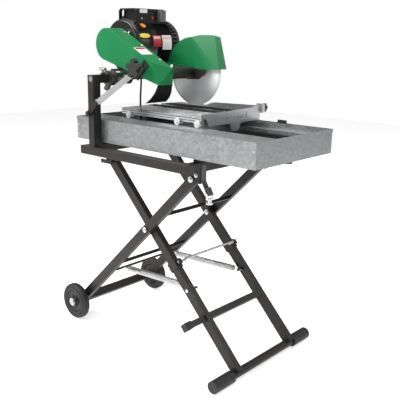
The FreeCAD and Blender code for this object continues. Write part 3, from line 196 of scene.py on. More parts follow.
class Growth(Tree):
    # one Geometry Nodes tree with named inputs; grown() runs it and keeps the plain mesh
    def __init__(self, name, **inputs):
        self.name = name
        self.inputs = inputs
        self.tree = bpy.data.node_groups.new(name, "GeometryNodeTree")
        kinds = {int: "NodeSocketInt", float: "NodeSocketFloat", tuple: "NodeSocketVector"}
        self.tree.interface.new_socket("Mesh", in_out="INPUT", socket_type="NodeSocketGeometry")
        for label, value in inputs.items():
            self.tree.interface.new_socket(label, in_out="INPUT", socket_type=kinds[type(value)])
        self.tree.interface.new_socket("Material", in_out="INPUT", socket_type="NodeSocketMaterial")
        self.tree.interface.new_socket("Mesh", in_out="OUTPUT", socket_type="NodeSocketGeometry")
        self.entry = self.tree.nodes.new("NodeGroupInput")
        self.exit = self.tree.nodes.new("NodeGroupOutput")

    def given(self, label):
        return Wire(self, self.entry.outputs[label])

    def end(self, mesh):
        solid = self.node("GeometryNodeRealizeInstances", {}, {0: mesh})
        painted = self.node("GeometryNodeSetMaterial", {}, {"Geometry": solid, "Material": self.given("Material")})
        self.tree.links.new(painted.socket, self.exit.inputs[0])
        return self

    def grown(self, material, start=None, matrix=None, **values):
        holder = link(self.name + "Holder", start or bpy.data.meshes.new(self.name))
        modifier = holder.modifiers.new("growth", "NODES")
        modifier.node_group = self.tree
        wanted = {**self.inputs, **values, "Material": material}
        for item in self.tree.interface.items_tree:
            if item.item_type == "SOCKET" and item.in_out == "INPUT" and item.name in wanted:
                modifier[item.identifier] = wanted[item.name]
        graph = bpy.context.evaluated_depsgraph_get()
        mesh = bpy.data.meshes.new_from_object(holder.evaluated_get(graph))
        bpy.data.objects.remove(holder)
        if matrix:
            mesh.transform(matrix)
        return mesh


def link(name, mesh):
    made = bpy.data.objects.new(name, mesh)
    bpy.context.scene.collection.objects.link(made)
    return made


# ---------- finishes ----------
def galvanisedSheet():
    p = Paint("galvanisedSheet")
    values = {"spangle": 105.0, "fine": 290.0, "light": (0.40, 0.413, 0.413), "dark": (0.21, 0.222, 0.225)}
    wobble = p.node("ShaderNodeVectorMath", {"operation": "ADD"}, {0: p.place, 1: p.node(
        "ShaderNodeVectorMath", {"operation": "SCALE"},
        {0: p.node("ShaderNodeTexNoise", {}, {"Vector": p.place, "Scale": 60.0}, "Color"), "Scale": 0.012})})
    big = p.axes(p.node("ShaderNodeTexVoronoi", {}, {"Vector": wobble, "Scale": values["spangle"]}, "Color"))[0]
    small = p.axes(p.node("ShaderNodeTexVoronoi", {}, {"Vector": wobble, "Scale": values["fine"]}, "Color"))[1]
    cloud = p.noise(5.0, 3.0)
    stain = p.noise(9.0, 4.0, (1.0, 1.0, 0.25))
    crystal = big * 0.5 + small * 0.25 + cloud * 0.5 - 0.12
    color = p.blend(crystal.clamped(), values["dark"], values["light"])
    color = p.blend((p.ramp(stain, (0.56, 0.0), (0.72, 1.0)) * 0.35), color, (0.30, 0.32, 0.31))
    rough = 0.27 + big * 0.16 + small * 0.1 + cloud * 0.08
    return p.finish(color, rough, 0.82, bump=big * 0.4 + p.noise(30.0, 2.0), strength=0.12, distance=0.001)


def framePaint(name="framePaint", base=(0.0105, 0.0078, 0.0062), paleTone=(0.062, 0.052, 0.044)):
    p = Paint(name)
    up = p.facing()[2]
    mottle = p.noise(14.0, 5.0)
    # upward-facing faces made paler, mottled by noise, toward the pale tone given in the arguments
    upwardPaler = (p.ramp(up, (0.35, 0.0), (1.0, 1.0)) * (mottle * 0.5 + 0.18)).clamped()
    scuff = p.ramp(p.noise(85.0, 6.0, (1.0, 1.0, 0.3), 0.7), (0.66, 0.0), (0.74, 1.0))
    color = p.blend(upwardPaler * 0.5, base, paleTone)
    color = p.blend(scuff * 0.22, color, (0.2, 0.18, 0.165))
    return p.finish(color, 0.34 + mottle * 0.2 + upwardPaler * 0.12, 0.0, bump=p.noise(900.0, 2.0), strength=0.14,
                    Specular_IOR_Level=0.4)


def greenPaint():
    p = Paint("greenPaint")
    cloud = p.noise(9.0, 3.0)
    color = p.blend(cloud, (0.0, 0.165, 0.044), (0.0, 0.205, 0.058))
    chips = p.ramp(p.noise(160.0, 6.0, rough=0.72), (0.735, 0.0), (0.76, 1.0))
    color = p.blend(chips * 0.5, color, (0.02, 0.1, 0.05))
    grime = p.ramp(p.noise(18.0, 6.0, (1.0, 1.0, 0.4), 0.65), (0.55, 0.0), (0.8, 1.0))
    color = p.blend(grime * 0.12, color, (0.25, 0.3, 0.27))
    return p.finish(color, 0.36 + cloud * 0.12 + grime * 0.12, 0.0, bump=p.noise(420.0, 2.0), strength=0.07,
                    Specular_IOR_Level=0.3, Coat_Weight=0.1, Coat_Roughness=0.2)


def brushedAluminium(name="brushedAluminium", stretch=(2.0, 260.0, 260.0), light=(0.80, 0.81, 0.83)):
    p = Paint(name)
    grain = p.noise(6.0, 4.0, stretch)
    smear = p.noise(11.0, 5.0, (1.0, 1.6, 1.0), 0.6)
    scratch = p.ramp(p.noise(30.0, 3.0, (1.0, 7.0, 7.0), 0.75), (0.62, 0.0), (0.68, 1.0))
    dark = tuple(0.68 * channel for channel in light)
    color = p.blend((grain * 0.5 + smear * 0.6 - 0.1).clamped(), dark, light)
    return p.finish(color, 0.2 + grain * 0.12 + smear * 0.16 + scratch * 0.08, 0.95, bump=grain + scratch * 0.5,
                    strength=0.09)


def bareSteel(name="bareSteel", light=(0.56, 0.56, 0.57), rough=0.27):
    p = Paint(name)
    grain = p.noise(300.0, 3.0)
    cloud = p.noise(40.0, 4.0)
    color = p.blend(cloud, tuple(0.6 * channel for channel in light), light)
    return p.finish(color, rough + cloud * 0.18, 0.95, bump=grain, strength=0.06)


def motorPaint():
    p = Paint("motorPaint")
    cloud = p.noise(22.0, 4.0)
    color = p.blend(cloud, (0.006, 0.0055, 0.0055), (0.014, 0.013, 0.0125))
    return p.finish(color, 0.24 + cloud * 0.16, 0.0, bump=p.noise(260.0, 3.0), strength=0.12, Coat_Weight=0.12,
                    Specular_IOR_Level=0.35)


def mouldedPlastic(name="blackPlastic", color=(0.014, 0.014, 0.015), rough=0.42):
    p = Paint(name)
    grain = p.noise(1400.0, 2.0)
    cloud = p.noise(50.0, 3.0)
    shade = p.blend(cloud, tuple(0.8 * channel for channel in color), tuple(1.25 * channel for channel in color))
    return p.finish(shade, rough + cloud * 0.12, 0.0, bump=grain, strength=0.15)


def softRubber(name="softRubber", color=(0.012, 0.012, 0.0125)):
    p = Paint(name)
    paleTone = p.ramp(p.noise(70.0, 6.0, rough=0.7), (0.45, 0.0), (0.8, 1.0))
    shade = p.blend(paleTone * 0.3, color, (0.07, 0.066, 0.06))
    return p.finish(shade, 0.55 + paleTone * 0.25, 0.0, bump=p.noise(600.0, 3.0), strength=0.25)


def clearPlastic():
    p = Paint("clearPlastic")
    haze = p.noise(80.0, 4.0)
    return p.finish((0.30, 0.315, 0.33), 0.12 + haze * 0.12, 0.0, bump=haze, strength=0.05,
                    Transmission_Weight=0.6, IOR=1.46)


def bladeSteel():
    # concentric grind lines, a painted sheen that brightens and darkens the colour by angle round the hub, a polished
    # core and a darker cutting rim
    p = Paint("bladeSteel")
    hub = middle("blade")
    offset = p.node("ShaderNodeVectorMath", {"operation": "SUBTRACT"}, {0: p.place, 1: tuple(hub)})
    x, y, z = p.axes(offset)
    radius = (x * x + z * z).power(0.5)
    angle = z.sum("ARCTAN2", x)
    # painted highlight: a bow-tie reflection painted into the base colour by angle round the hub
    paintedSheen = (angle * 2.0 + 0.9).sine() * 0.5 + (angle * 5.0 + 1.3).sine() * 0.14 + 0.5
    grooves = (radius * 5200.0).sine()
    rim = radius > 0.119
    streak = p.noise(3.0, 3.0) * 0.2
    color = p.blend((paintedSheen + streak).clamped(), (0.62, 0.63, 0.64), (0.97, 0.975, 0.98))
    color = p.blend(rim * 0.7, color, (0.66, 0.66, 0.65))
    return p.finish(color, 0.42 + rim * 0.2 + streak, 0.45, bump=grooves, strength=0.06, distance=0.0001)


def webbingCloth():
    p = Paint("webbingCloth")
    x, y, z = p.axes()
    weave = (y * 3200.0).sine() * (z * 2600.0).sine()
    shade = p.blend(weave * 0.5 + 0.5, (0.05, 0.056, 0.066), (0.13, 0.142, 0.16))
    return p.finish(shade, 0.8, 0.0, bump=weave, strength=0.5)


def sticker(name, color, rough=0.35):
    p = Paint(name)
    worn = p.ramp(p.noise(240.0, 5.0, rough=0.7), (0.6, 0.0), (0.75, 1.0))
    shade = p.blend(worn * 0.25, color, tuple(0.75 * channel + 0.05 for channel in color))
    return p.finish(shade, rough + worn * 0.2, 0.0, bump=p.noise(500.0, 2.0), strength=0.04)


finishes = {
    "galvanised_steel": galvanisedSheet(),
    "frame_paint": framePaint(),
    "green_paint": greenPaint(),
    "steel": bareSteel(),
    "zinc": bareSteel("zincPlate", (0.72, 0.72, 0.71), 0.24),
    "aluminium": brushedAluminium(),
    "motor_black": motorPaint(),
    "black_plastic": mouldedPlastic(),
    "red_plastic": mouldedPlastic("redPlastic", (0.55, 0.012, 0.012), 0.25),
    "clear_plastic": clearPlastic(),
    "white_nylon": mouldedPlastic("whiteNylon", (0.78, 0.78, 0.75), 0.38),
    "rubber": softRubber(),
    "belt_rubber": softRubber("beltRubber"),
    "webbing": webbingCloth(),
    "blade_steel": bladeSteel(),
}
castAluminium = brushedAluminium("crossBrushed", (260.0, 2.0, 260.0), (0.86, 0.865, 0.88))
polishedPlate = bareSteel("polishedPlate", (0.62, 0.63, 0.64), 0.08)
print("finishes made:", len(finishes) + 2)


# ---------- pieces from the frame's own nodes ----------
def softened(mesh, sharp=32.0):
    # merged vertices, smooth faces, and edges sharper than the angle kept crisp
    shape = bmesh.new()
    shape.from_mesh(mesh)
    bmesh.ops.remove_doubles(shape, verts=shape.verts, dist=0.00001)
    bmesh.ops.dissolve_limit(shape, angle_limit=math.radians(0.4), verts=shape.verts, edges=shape.edges)
    for face in shape.faces:
        face.smooth = True
    for edge in shape.edges:
        if len(edge.link_faces) == 2 and edge.calc_face_angle(0.0) > math.radians(sharp):
            edge.smooth = False
    shape.to_mesh(mesh)
    shape.free()


def dress(node, material, edge=0.0006, sharp=32.0):
    # a merged, bevelled stand-in for one node
    mesh = nodes[node].data.copy()
    mesh.materials.clear()
    mesh.materials.append(material)
    softened(mesh, sharp)
    made = link(node + "Skin", mesh)
    if edge:
        bevel = made.modifiers.new("edges", "BEVEL")
        bevel.width = edge
        bevel.segments = 2
        bevel.limit_method = "ANGLE"
        bevel.angle_limit = math.radians(sharp)
        bevel.harden_normals = False
    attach(made, bodyOf[node])
    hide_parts(node)
    return made


edgeWidths = {"water_pan": 0.0008, "stand_frame": 0.0025, "wheel_legs": 0.003, "foot_legs": 0.003, "leg_ties": 0.0012,
              "post": 0.0025, "foot_bars": 0.0015, "belt_cover": 0.003, "blade_guard": 0.0022, "base_plate": 0.001,
              "junction_box": 0.003, "lock_knob": 0.003, "fence_knob": 0.002, "motor_shell": 0.002, "blade": 0.0,
              "pump_cord": 0.0, "motor_lead": 0.0, "lift_handle": 0.001, "rubber_sleeves": 0.003,
              "lock_arm": 0.0012, "fence_clamp": 0.0015, "water_pump": 0.003, "pan_rubbers": 0.0015, "end_caps": 0.004, "switch_guard": 0.004}
skins = {}
for node in nodes:
    skins[node] = dress(node, finishes[slotOf[node]], edgeWidths.get(node, 0.0005))
for node in ("fence_plate", "drip_chute", "fence_clamp"):
    skins[node].data.materials[0] = castAluminium
skins["table_plates"].data.materials[0] = polishedPlate
print("nodes dressed:", len(skins))


# ---------- rule-based detail: Geometry Nodes trees ----------
def ringTree():
    # Count copies of a block on a circle, each turned to face outwards
    g = Growth("ringOfBlocks", Count=24, Radius=0.05, Size=(0.05, 0.003, 0.002), Phase=0.0)
    circle = g.node("GeometryNodeMeshCircle", {}, {"Vertices": g.given("Count"), "Radius": g.given("Radius")})
    block = g.node("GeometryNodeMeshCube", {}, {"Size": g.given("Size")})
    turn = g.node("GeometryNodeInputIndex", {}, {}) * (2 * math.pi) / g.given("Count") + g.given("Phase")
    spin = g.node("ShaderNodeCombineXYZ", {}, {2: turn})
    placed = g.node("GeometryNodeInstanceOnPoints", {}, {"Points": circle, "Instance": block, "Rotation": spin})
    return g.end(placed)


def rowTree():
    # Count copies of a block, Step apart
    g = Growth("rowOfBlocks", Count=10, Step=(0.01, 0.0, 0.0), Size=(0.004, 0.004, 0.001))
    line = g.node("GeometryNodeMeshLine", {"mode": "OFFSET"}, {"Count": g.given("Count"), "Offset": g.given("Step")})
    block = g.node("GeometryNodeMeshCube", {}, {"Size": g.given("Size")})
    return g.end(g.node("GeometryNodeInstanceOnPoints", {}, {"Points": line, "Instance": block}))


def coilTree():
    # a wire wound along z
    g = Growth("woundWire", Turns=100.0, Radius=0.0095, Wire=0.0015, Height=0.33)
    spiral = g.node("GeometryNodeCurveSpiral", {}, {
        "Resolution": 14, "Rotations": g.given("Turns"), "Start Radius": g.given("Radius"),
        "End Radius": g.given("Radius"), "Height": g.given("Height")})
    section = g.node("GeometryNodeCurvePrimitiveCircle", {}, {"Resolution": 6, "Radius": g.given("Wire")})
    tube = g.node("GeometryNodeCurveToMesh", {}, {"Curve": spiral, "Profile Curve": section, "Fill Caps": True})
    smooth = g.node("GeometryNodeSetShadeSmooth", {}, {"Geometry": tube, "Shade Smooth": True})
    return g.end(smooth)


def screwTree():
    # a washer and a chamfered hex head on each start point, along its "facing" and with its own turn
    g = Growth("hexScrews", Radius=0.006, Height=0.004, Seed=7)
    radius, height = g.given("Radius"), g.given("Height")
    washer = g.node("GeometryNodeMeshCylinder", {}, {"Vertices": 20, "Radius": radius * 1.35, "Depth": height * 0.3})
    head = g.node("GeometryNodeMeshCylinder", {}, {"Vertices": 6, "Radius": radius, "Depth": height * 1.5})
    crown = g.node("GeometryNodeMeshCone", {}, {
        "Vertices": 18, "Radius Top": radius * 0.55, "Radius Bottom": radius * 0.84, "Depth": height * 0.2})
    lift = g.node("ShaderNodeCombineXYZ", {}, {2: height * 0.75})
    crown = g.node("GeometryNodeTransform", {}, {"Geometry": crown, "Translation": lift})
    screw = g.node("GeometryNodeJoinGeometry", {}, {0: [washer, head, crown]})
    facing = g.node("GeometryNodeInputNamedAttribute", {"data_type": "FLOAT_VECTOR"}, {"Name": "facing"})
    aim = g.node("FunctionNodeAlignRotationToVector", {"axis": "Z"}, {"Vector": facing})
    placed = g.node("GeometryNodeInstanceOnPoints", {}, {
        "Points": g.given("Mesh"), "Instance": screw, "Rotation": aim})
    chance = g.node("FunctionNodeRandomValue", {"data_type": "FLOAT"}, {2: 0.0, 3: 6.28, "Seed": g.given("Seed")}, 1)
    own = g.node("ShaderNodeCombineXYZ", {}, {2: chance})
    return g.end(g.node("GeometryNodeRotateInstances", {}, {"Instances": placed, "Rotation": own}))


def weldTree():
    # overlapping beads, each of a random size, along each start edge
    g = Growth("weldBeads", Step=0.0032, Bead=0.0028, Seed=3)
    path = g.node("GeometryNodeMeshToCurve", {}, {"Mesh": g.given("Mesh")})
    even = g.node("GeometryNodeResampleCurve", {"mode": "LENGTH"}, {"Curve": path, "Length": g.given("Step")})
    bead = g.node("GeometryNodeMeshIcoSphere", {}, {"Radius": g.given("Bead"), "Subdivisions": 2})
    size = g.node("FunctionNodeRandomValue", {"data_type": "FLOAT"}, {2: 0.8, 3: 1.15, "Seed": g.given("Seed")}, 1)
    placed = g.node("GeometryNodeInstanceOnPoints", {}, {"Points": even, "Instance": bead, "Scale": size})
    return g.end(placed)


ringOfBlocks = ringTree()
rowOfBlocks = rowTree()
woundWire = coilTree()
hexScrews = screwTree()
weldBeads = weldTree()
acrossPan = Matrix.Rotation(math.radians(-90), 4, "X")
print("growth trees built")


def settle(name, mesh, body, edge=0.0, sharp=32.0):
    # a new piece that rides on a body, with its edges eased
    softened(mesh, sharp)
    made = link(name, mesh)
    if edge:
        bevel = made.modifiers.new("edges", "BEVEL")
        bevel.width = edge
        bevel.segments = 2
        bevel.limit_method = "ANGLE"
        bevel.angle_limit = math.radians(sharp)
    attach(made, body)
    return made


def joined(name, meshes):
    shape = bmesh.new()
    materials = []
    for mesh in meshes:
        for material in mesh.materials:
            if material not in materials:
                materials.append(material)
    result = bpy.data.meshes.new(name)
    for material in materials:
        result.materials.append(material)
    for mesh in meshes:
        start = len(shape.faces)
        shape.from_mesh(mesh)
        shape.faces.ensure_lookup_table()
        for face in shape.faces[start:]:
            face.material_index = materials.index(mesh.materials[face.material_index])
    shape.to_mesh(result)
    shape.free()
    return result


def turnedMesh(name, points, material, matrix, segments=64):
    # radius-height points turned about z, closed on itself
    vertices = [(radius * math.cos(2 * math.pi * step / segments), radius * math.sin(2 * math.pi * step / segments),
                 height) for step in range(segments) for radius, height in points]
    count = len(points)
    faces = [(step * count + at, ((step + 1) % segments) * count + at,
              ((step + 1) % segments) * count + (at + 1) % count, step * count + (at + 1) % count)
             for step in range(segments) for at in range(count)]
    mesh = bpy.data.meshes.new(name)
    mesh.from_pydata(vertices, [], faces)
    mesh.materials.append(material)
    mesh.transform(matrix)
    shape = bmesh.new()
    shape.from_mesh(mesh)
    bmesh.ops.recalc_face_normals(shape, faces=shape.faces)
    shape.to_mesh(mesh)
    shape.free()
    return mesh


def pointCloud(name, places):
    # places: (position, facing) pairs
    mesh = bpy.data.meshes.new(name)
    mesh.from_pydata([tuple(place) for place, facing in places], [], [])
    attribute = mesh.attributes.new("facing", "FLOAT_VECTOR", "POINT")
    attribute.data.foreach_set("vector", [value for place, facing in places for value in facing])
    return mesh


def islands(node):
    # middle and half size of each separate solid of a node
    shape = bmesh.new()
    shape.from_mesh(nodes[node].data)
    bmesh.ops.remove_doubles(shape, verts=shape.verts, dist=0.00001)
    found = []
    left = set(shape.verts)
    while left:
        stack = [left.pop()]
        seen = [stack[0].co.copy()]
        while stack:
            for edge in stack.pop().link_edges:
                for vertex in edge.verts:
                    if vertex in left:
                        left.remove(vertex)
                        stack.append(vertex)
                        seen.append(vertex.co.copy())
        low = Vector([min(point[axis] for point in seen) for axis in range(3)])
        high = Vector([max(point[axis] for point in seen) for axis in range(3)])
        found.append(((low + high) / 2, (high - low) / 2))
    shape.free()
    return found


def recolor(piece, material, chosen):
    # a second material on the faces whose middle passes the test
    piece.data.materials.append(material)
    for face in piece.data.polygons:
        if chosen(face.center):
            face.material_index = len(piece.data.materials) - 1


def replaced(node):
    bpy.data.objects.remove(skins.pop(node))


shift = middle("blade").x + 0.0966
wheelLean, footLean, legReach = math.radians(45.2), math.radians(44), 0.335
hingeX, hingeZ = shift + 0.159, 0.718
motorAxis = Vector((shift - 0.351, 0.0, 1.162))
zincPlate = finishes["zinc"]
blackPaint = finishes["frame_paint"]


# ---------- springs ----------
def springPair():
    values = {"coil": 0.0108, "wire": 0.0016, "pitch": 0.0033, "stem": 0.032, "eye": 0.0076, "offset": 0.136}
    reach, side, pin = legReach + 0.300, 0.015, legReach + 0.280
    start = Vector((hingeX - reach * math.sin(wheelLean) + side * math.cos(wheelLean), 0,
                    hingeZ - reach * math.cos(wheelLean) - side * math.sin(wheelLean)))
    top = Vector((hingeX - legReach * (math.sin(wheelLean) + math.sin(footLean)), 0,
                  hingeZ + legReach * (math.cos(footLean) - math.cos(wheelLean))))
    end = top + Vector((math.sin(footLean), 0, -math.cos(footLean))) * pin
    span = (end - start).length
    body = span - 2 * values["stem"]
    aim = (end - start).to_track_quat("Z", "Y").to_matrix().to_4x4()
    meshes = []
    for y in (-values["offset"], values["offset"]):
        place = Matrix.Translation((start.x, y, start.z)) @ aim
        meshes.append(woundWire.grown(zincPlate, Turns=body / values["pitch"], Radius=values["coil"],
                                      Wire=values["wire"], Height=body,
                                      matrix=place @ Matrix.Translation((0, 0, values["stem"]))))
        for at in (0.0, span):
            ring = [(values["eye"] + 0.0019 * math.cos(step * math.pi / 4), 0.0019 * math.sin(step * math.pi / 4))
                    for step in range(8)]
            meshes.append(turnedMesh("eye", ring, zincPlate,
                                     place @ Matrix.Translation((0, 0, at)) @ Matrix.Rotation(math.pi / 2, 4, "X"), 24))
        for low, high, wide in ((0.009, 0.034, 0.0024), (0.026, 0.033, 0.0085),
                                (span - 0.034, span - 0.009, 0.0024), (span - 0.033, span - 0.026, 0.0085)):
            stem = [(0.0003, low), (wide * 0.7, low), (wide, low + 0.001), (wide, high - 0.001), (wide * 0.7, high),
                    (0.0003, high)]
            meshes.append(turnedMesh("stem", stem, zincPlate, place, 16))
    mesh = joined("springPair", meshes)
    for face in mesh.polygons:
        face.use_smooth = True
    replaced("springs")
    piece = link("springPair", mesh)
    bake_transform(piece)
    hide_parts("springs")
    print("springs wound:", len(mesh.polygons), "faces")


springPair()


# ---------- wheels ----------
def wheel(side, name):
    values = {"radius": 0.077, "rim": 0.044, "half": 0.017, "groove": 0.0012}
    hub = middle("tyre_" + name)
    place = Matrix.Translation(hub) @ acrossPan
    radius, rim, half, dip = values["radius"], values["rim"], values["half"], values["groove"]
    tread = [(radius - 0.004, -half + 0.0035), (radius - 0.001, -half + 0.007), (radius, -0.0065), (radius - dip, -0.006),
             (radius - dip, -0.004), (radius, -0.0035), (radius, 0.0035), (radius - dip, 0.004), (radius - dip, 0.006),
             (radius, 0.0065), (radius - 0.001, half - 0.007), (radius - 0.004, half - 0.0035)]
    walls = [(radius - 0.012, 1.0), (radius - 0.0135, 0.86), (radius - 0.0165, 0.86), (radius - 0.018, 1.0),
             (radius - 0.028, 0.97), (rim + 0.004, 0.9), (rim + 0.001, 0.72)]
    outline = ([(r, -half * share) for r, share in reversed(walls)] + tread +
               [(r, half * share) for r, share in walls] + [(rim + 0.0003, 0.0)])
    tyre = settle("tyre" + name.title(), turnedMesh("tyre", outline, finishes["rubber"], place, 96),
                  bodyOf["tyre_" + name], sharp=50.0)
    replaced("tyre_" + name)
    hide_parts("tyre_" + name)
    face = side * (half - 0.0095)
    ribs = ringOfBlocks.grown(finishes["black_plastic"], Count=6, Radius=0.029, Size=(0.016, 0.004, 0.006),
                              matrix=Matrix.Translation(hub + Vector((0, face, 0))) @ acrossPan)
    settle("hubRibs" + name.title(), ribs, bodyOf["hub_" + name], 0.0008)


wheel(-1, "near")
wheel(1, "far")


# ---------- screws, washers and nuts ----------
def screwed(name, places, body, radius, height, node=None, seed=7):
    mesh = hexScrews.grown(zincPlate, start=pointCloud(name + "Points", places), Radius=radius, Height=height,
                           Seed=seed)
    piece = settle(name, mesh, body, 0.0003)
    if node:
        replaced(node)
        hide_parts(node)
    return piece


def fasteners():
    coverPlaces = []
    lean = math.radians(-27.1)
    up = Vector((-math.sin(lean), 0, math.cos(lean)))
    for place, half in islands("cover_bolts"):
        coverPlaces.append((place - up * 0.0016, up))
    screwed("coverScrews", coverPlaces, "head", 0.0052, 0.0042, "cover_bolts", 3)
    framePlaces = []
    for place, half in islands("frame_bolts"):
        thin = min(range(3), key=lambda axis: half[axis])
        facing = Vector((0, 0, 0))
        facing[thin] = -1.0 if thin == 0 or place.y < 0 else 1.0
        framePlaces.append((place - facing * 0.0022, facing))
    screwed("frameScrews", framePlaces, "frame", 0.0062, 0.0046, "frame_bolts", 5)
    pins = []
    for place, half in islands("pivot_bolts"):
        for side in (-1.0, 1.0):
            pins.append((place + Vector((0, side * (half.y - 0.0006), 0)), Vector((0, side, 0))))
    screwed("pivotNuts", pins, "wheel_leg_frame", 0.0082, 0.0042, None, 8)
    hub = motorAxis
    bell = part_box("motor_shell")[0].y
    ends = [(hub + Vector((0.062 * math.cos(turn), bell - hub.y - 0.0004, 0.062 * math.sin(turn))), Vector((0, -1, 0)))
            for turn in (math.radians(45 + 90 * step) for step in range(4))]
    screwed("bellScrews", ends, "head", 0.0045, 0.0036, None, 9)
    low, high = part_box("junction_box")
    lid = [(Vector((high.x - 0.0002, y, z)), Vector((1, 0, 0)))
           for y in (low.y + 0.012, high.y - 0.009) for z in (1.262, high.z - 0.009)]
    screwed("boxScrews", lid, "head", 0.0028, 0.0022, None, 2)
    low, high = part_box("fence_plate")
    heads = [(Vector((high.x - 0.0002, y, 0.912)), Vector((1, 0, 0))) for y in (0.021, 0.081, 0.136)]
    screwed("fenceScrews", heads, "cart", 0.0038, 0.003, None, 4)
    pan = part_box("water_pan")
    rivets = [(Vector((x, pan[0].y + 0.0013, z)), Vector((0, -1, 0)))
              for x in (pan[0].x + 0.012, pan[1].x - 0.012) for z in (0.815, 0.852)]
    screwed("panRivets", rivets, "frame", 0.0026, 0.0014, None, 6)
    for side, name in ((-1, "near"), (1, "far")):
        hub = middle("tyre_" + name)
        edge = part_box("wheel_axle")[0 if side < 0 else 1].y
        cap = [(Vector((hub.x, edge - side * 0.006, hub.z)), Vector((0, side, 0)))]
        screwed("axleNut" + name.title(), cap, "wheel_leg_frame", 0.0125, 0.006, None, 1)
    print("fasteners placed")


fasteners()


# ---------- motor details ----------
def motorDetails():
    values = {"slots": 28, "fins": 40}
    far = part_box("motor_shell")[1].y
    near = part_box("motor_shell")[0].y
    dark = finishes["black_plastic"]
    grille = ringOfBlocks.grown(dark, Count=values["slots"], Radius=0.052, Size=(0.046, 0.0042, 0.003),
                                matrix=Matrix.Translation((motorAxis.x, far + 0.001, motorAxis.z)) @ acrossPan)
    settle("fanGrille", grille, "head", 0.0006)
    collar = ringOfBlocks.grown(dark, Count=values["fins"], Radius=0.0972, Size=(0.0016, 0.006, 0.03),
                                matrix=Matrix.Translation((motorAxis.x, far - 0.028, motorAxis.z)) @ acrossPan)
    settle("fanCowlRibs", collar, "head", 0.0004)
    for number, at in enumerate((near + 0.0135, far - 0.046)):
        seam = [(0.0966, -0.0018), (0.0984, -0.0014), (0.0984, 0.0014), (0.0966, 0.0018)]
        settle("shellSeam%d" % number, turnedMesh("seam", seam, finishes["motor_black"],
                                                  Matrix.Translation((motorAxis.x, at, motorAxis.z)) @ acrossPan, 96),
               "head")


motorDetails()


# ---------- blank stickers ----------
def curvedSticker(name, paint, angles, reach, radius=0.0974, oval=False):
    # a thin patch on the motor's shell: angles from the top in degrees, reach along y
    steps, rows, thick = 20, 14, 0.0004
    shape = bmesh.new()
    grid = {}
    for column in range(steps + 1):
        for row in range(rows + 1):
            u, v = column / steps * 2 - 1, row / rows * 2 - 1
            if oval:
                u, v = u * math.sqrt(1 - v * v / 2), v * math.sqrt(1 - u * u / 2)
            turn = math.radians((angles[0] + angles[1]) / 2 + u * (angles[1] - angles[0]) / 2)
            y = (reach[0] + reach[1]) / 2 + v * (reach[1] - reach[0]) / 2
            grid[column, row] = shape.verts.new((motorAxis.x + radius * math.sin(turn), y,
                                                 motorAxis.z + radius * math.cos(turn)))
    for column in range(steps):
        for row in range(rows):
            shape.faces.new((grid[column, row], grid[column, row + 1], grid[column + 1, row + 1],
                             grid[column + 1, row]))
    bmesh.ops.recalc_face_normals(shape, faces=shape.faces)
    middleFace = shape.faces[:][len(shape.faces) // 2]
    outward = middleFace.calc_center_median() - Vector((motorAxis.x, middleFace.calc_center_median().y, motorAxis.z))
    if middleFace.normal.dot(outward) < 0:
        bmesh.ops.reverse_faces(shape, faces=shape.faces)
    bmesh.ops.solidify(shape, geom=shape.faces[:], thickness=thick)
    mesh = bpy.data.meshes.new(name)
    shape.to_mesh(mesh)
    shape.free()
    mesh.materials.append(paint)
    settle(name, mesh, "head")


def flatSticker(name, paint, corner, first, second, body, thick=0.0005, sides=4):
    # a thin plate: four corners, or a round disc inside them
    corner, first, second = Vector(corner), Vector(first), Vector(second)
    out = first.cross(second).normalized() * thick
    if sides == 4:
        base = [corner, corner + first, corner + first + second, corner + second]
    else:
        centre = corner + first / 2 + second / 2
        base = [centre + first / 2 * math.cos(2 * math.pi * step / sides) +
                second / 2 * math.sin(2 * math.pi * step / sides) for step in range(sides)]
    count = len(base)
    vertices = [point - out * 0.2 for point in base] + [point + out for point in base]
    faces = [tuple(reversed(range(count))), tuple(range(count, 2 * count))]
    faces += [(at, (at + 1) % count, (at + 1) % count + count, at + count) for at in range(count)]
    mesh = bpy.data.meshes.new(name)
    mesh.from_pydata([tuple(vertex) for vertex in vertices], [], faces)
    mesh.materials.append(paint)
    settle(name, mesh, body)


def stickers():
    white = sticker("whiteSticker", (0.78, 0.76, 0.74))
    red = sticker("redSticker", (0.48, 0.012, 0.022))
    yellow = sticker("yellowSticker", (0.80, 0.60, 0.02))
    orange = sticker("orangeSticker", (0.80, 0.24, 0.01))
    plate = sticker("namePlate", (0.045, 0.043, 0.042), 0.25)
    pink = sticker("pinkSticker", (0.70, 0.42, 0.42))
    curvedSticker("yellowOval", yellow, (63.5, 74.5), (-0.0615, -0.004), oval=True)
    curvedSticker("redLabel", red, (68.5, 94.0), (0.009, 0.053))
    curvedSticker("redLabelBand", pink, (70.5, 76.0), (0.012, 0.050), 0.0979)
    curvedSticker("whiteLabel", white, (67.5, 101.0), (0.060, 0.112))
    curvedSticker("whiteLabelBand", pink, (70.0, 76.5), (0.063, 0.109), 0.0979)
    curvedSticker("motorPlate", plate, (78.0, 100.0), (-0.058, -0.013))
    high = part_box("junction_box")[1]
    curvedSticker("orangeRound", orange, (33.5, 47.5), (-0.0283, -0.0043), oval=True)
    flatSticker("boxSideLabel", white, (high.x, -0.022, 1.283), (0, 0.040, 0), (0, 0, 0.015), "head")
    lean = math.radians(27.1)
    slope = Vector((math.cos(lean), 0, -math.sin(lean)))
    top = Vector((shift - 0.3232, 0, 1.2163))
    start = top + slope * 0.139 + Vector((0, -0.150, 0))
    flatSticker("coverLabel", white, start, slope * 0.053, (0, 0.056, 0), "head")
    raised = Vector((math.sin(lean), 0, math.cos(lean))) * 0.0005
    flatSticker("coverLabelBand", red, start + raised + slope * 0.003 + Vector((0, 0.004, 0)), slope * 0.011,
                (0, 0.048, 0), "head", 0.0004)
    print("stickers laid")


stickers()


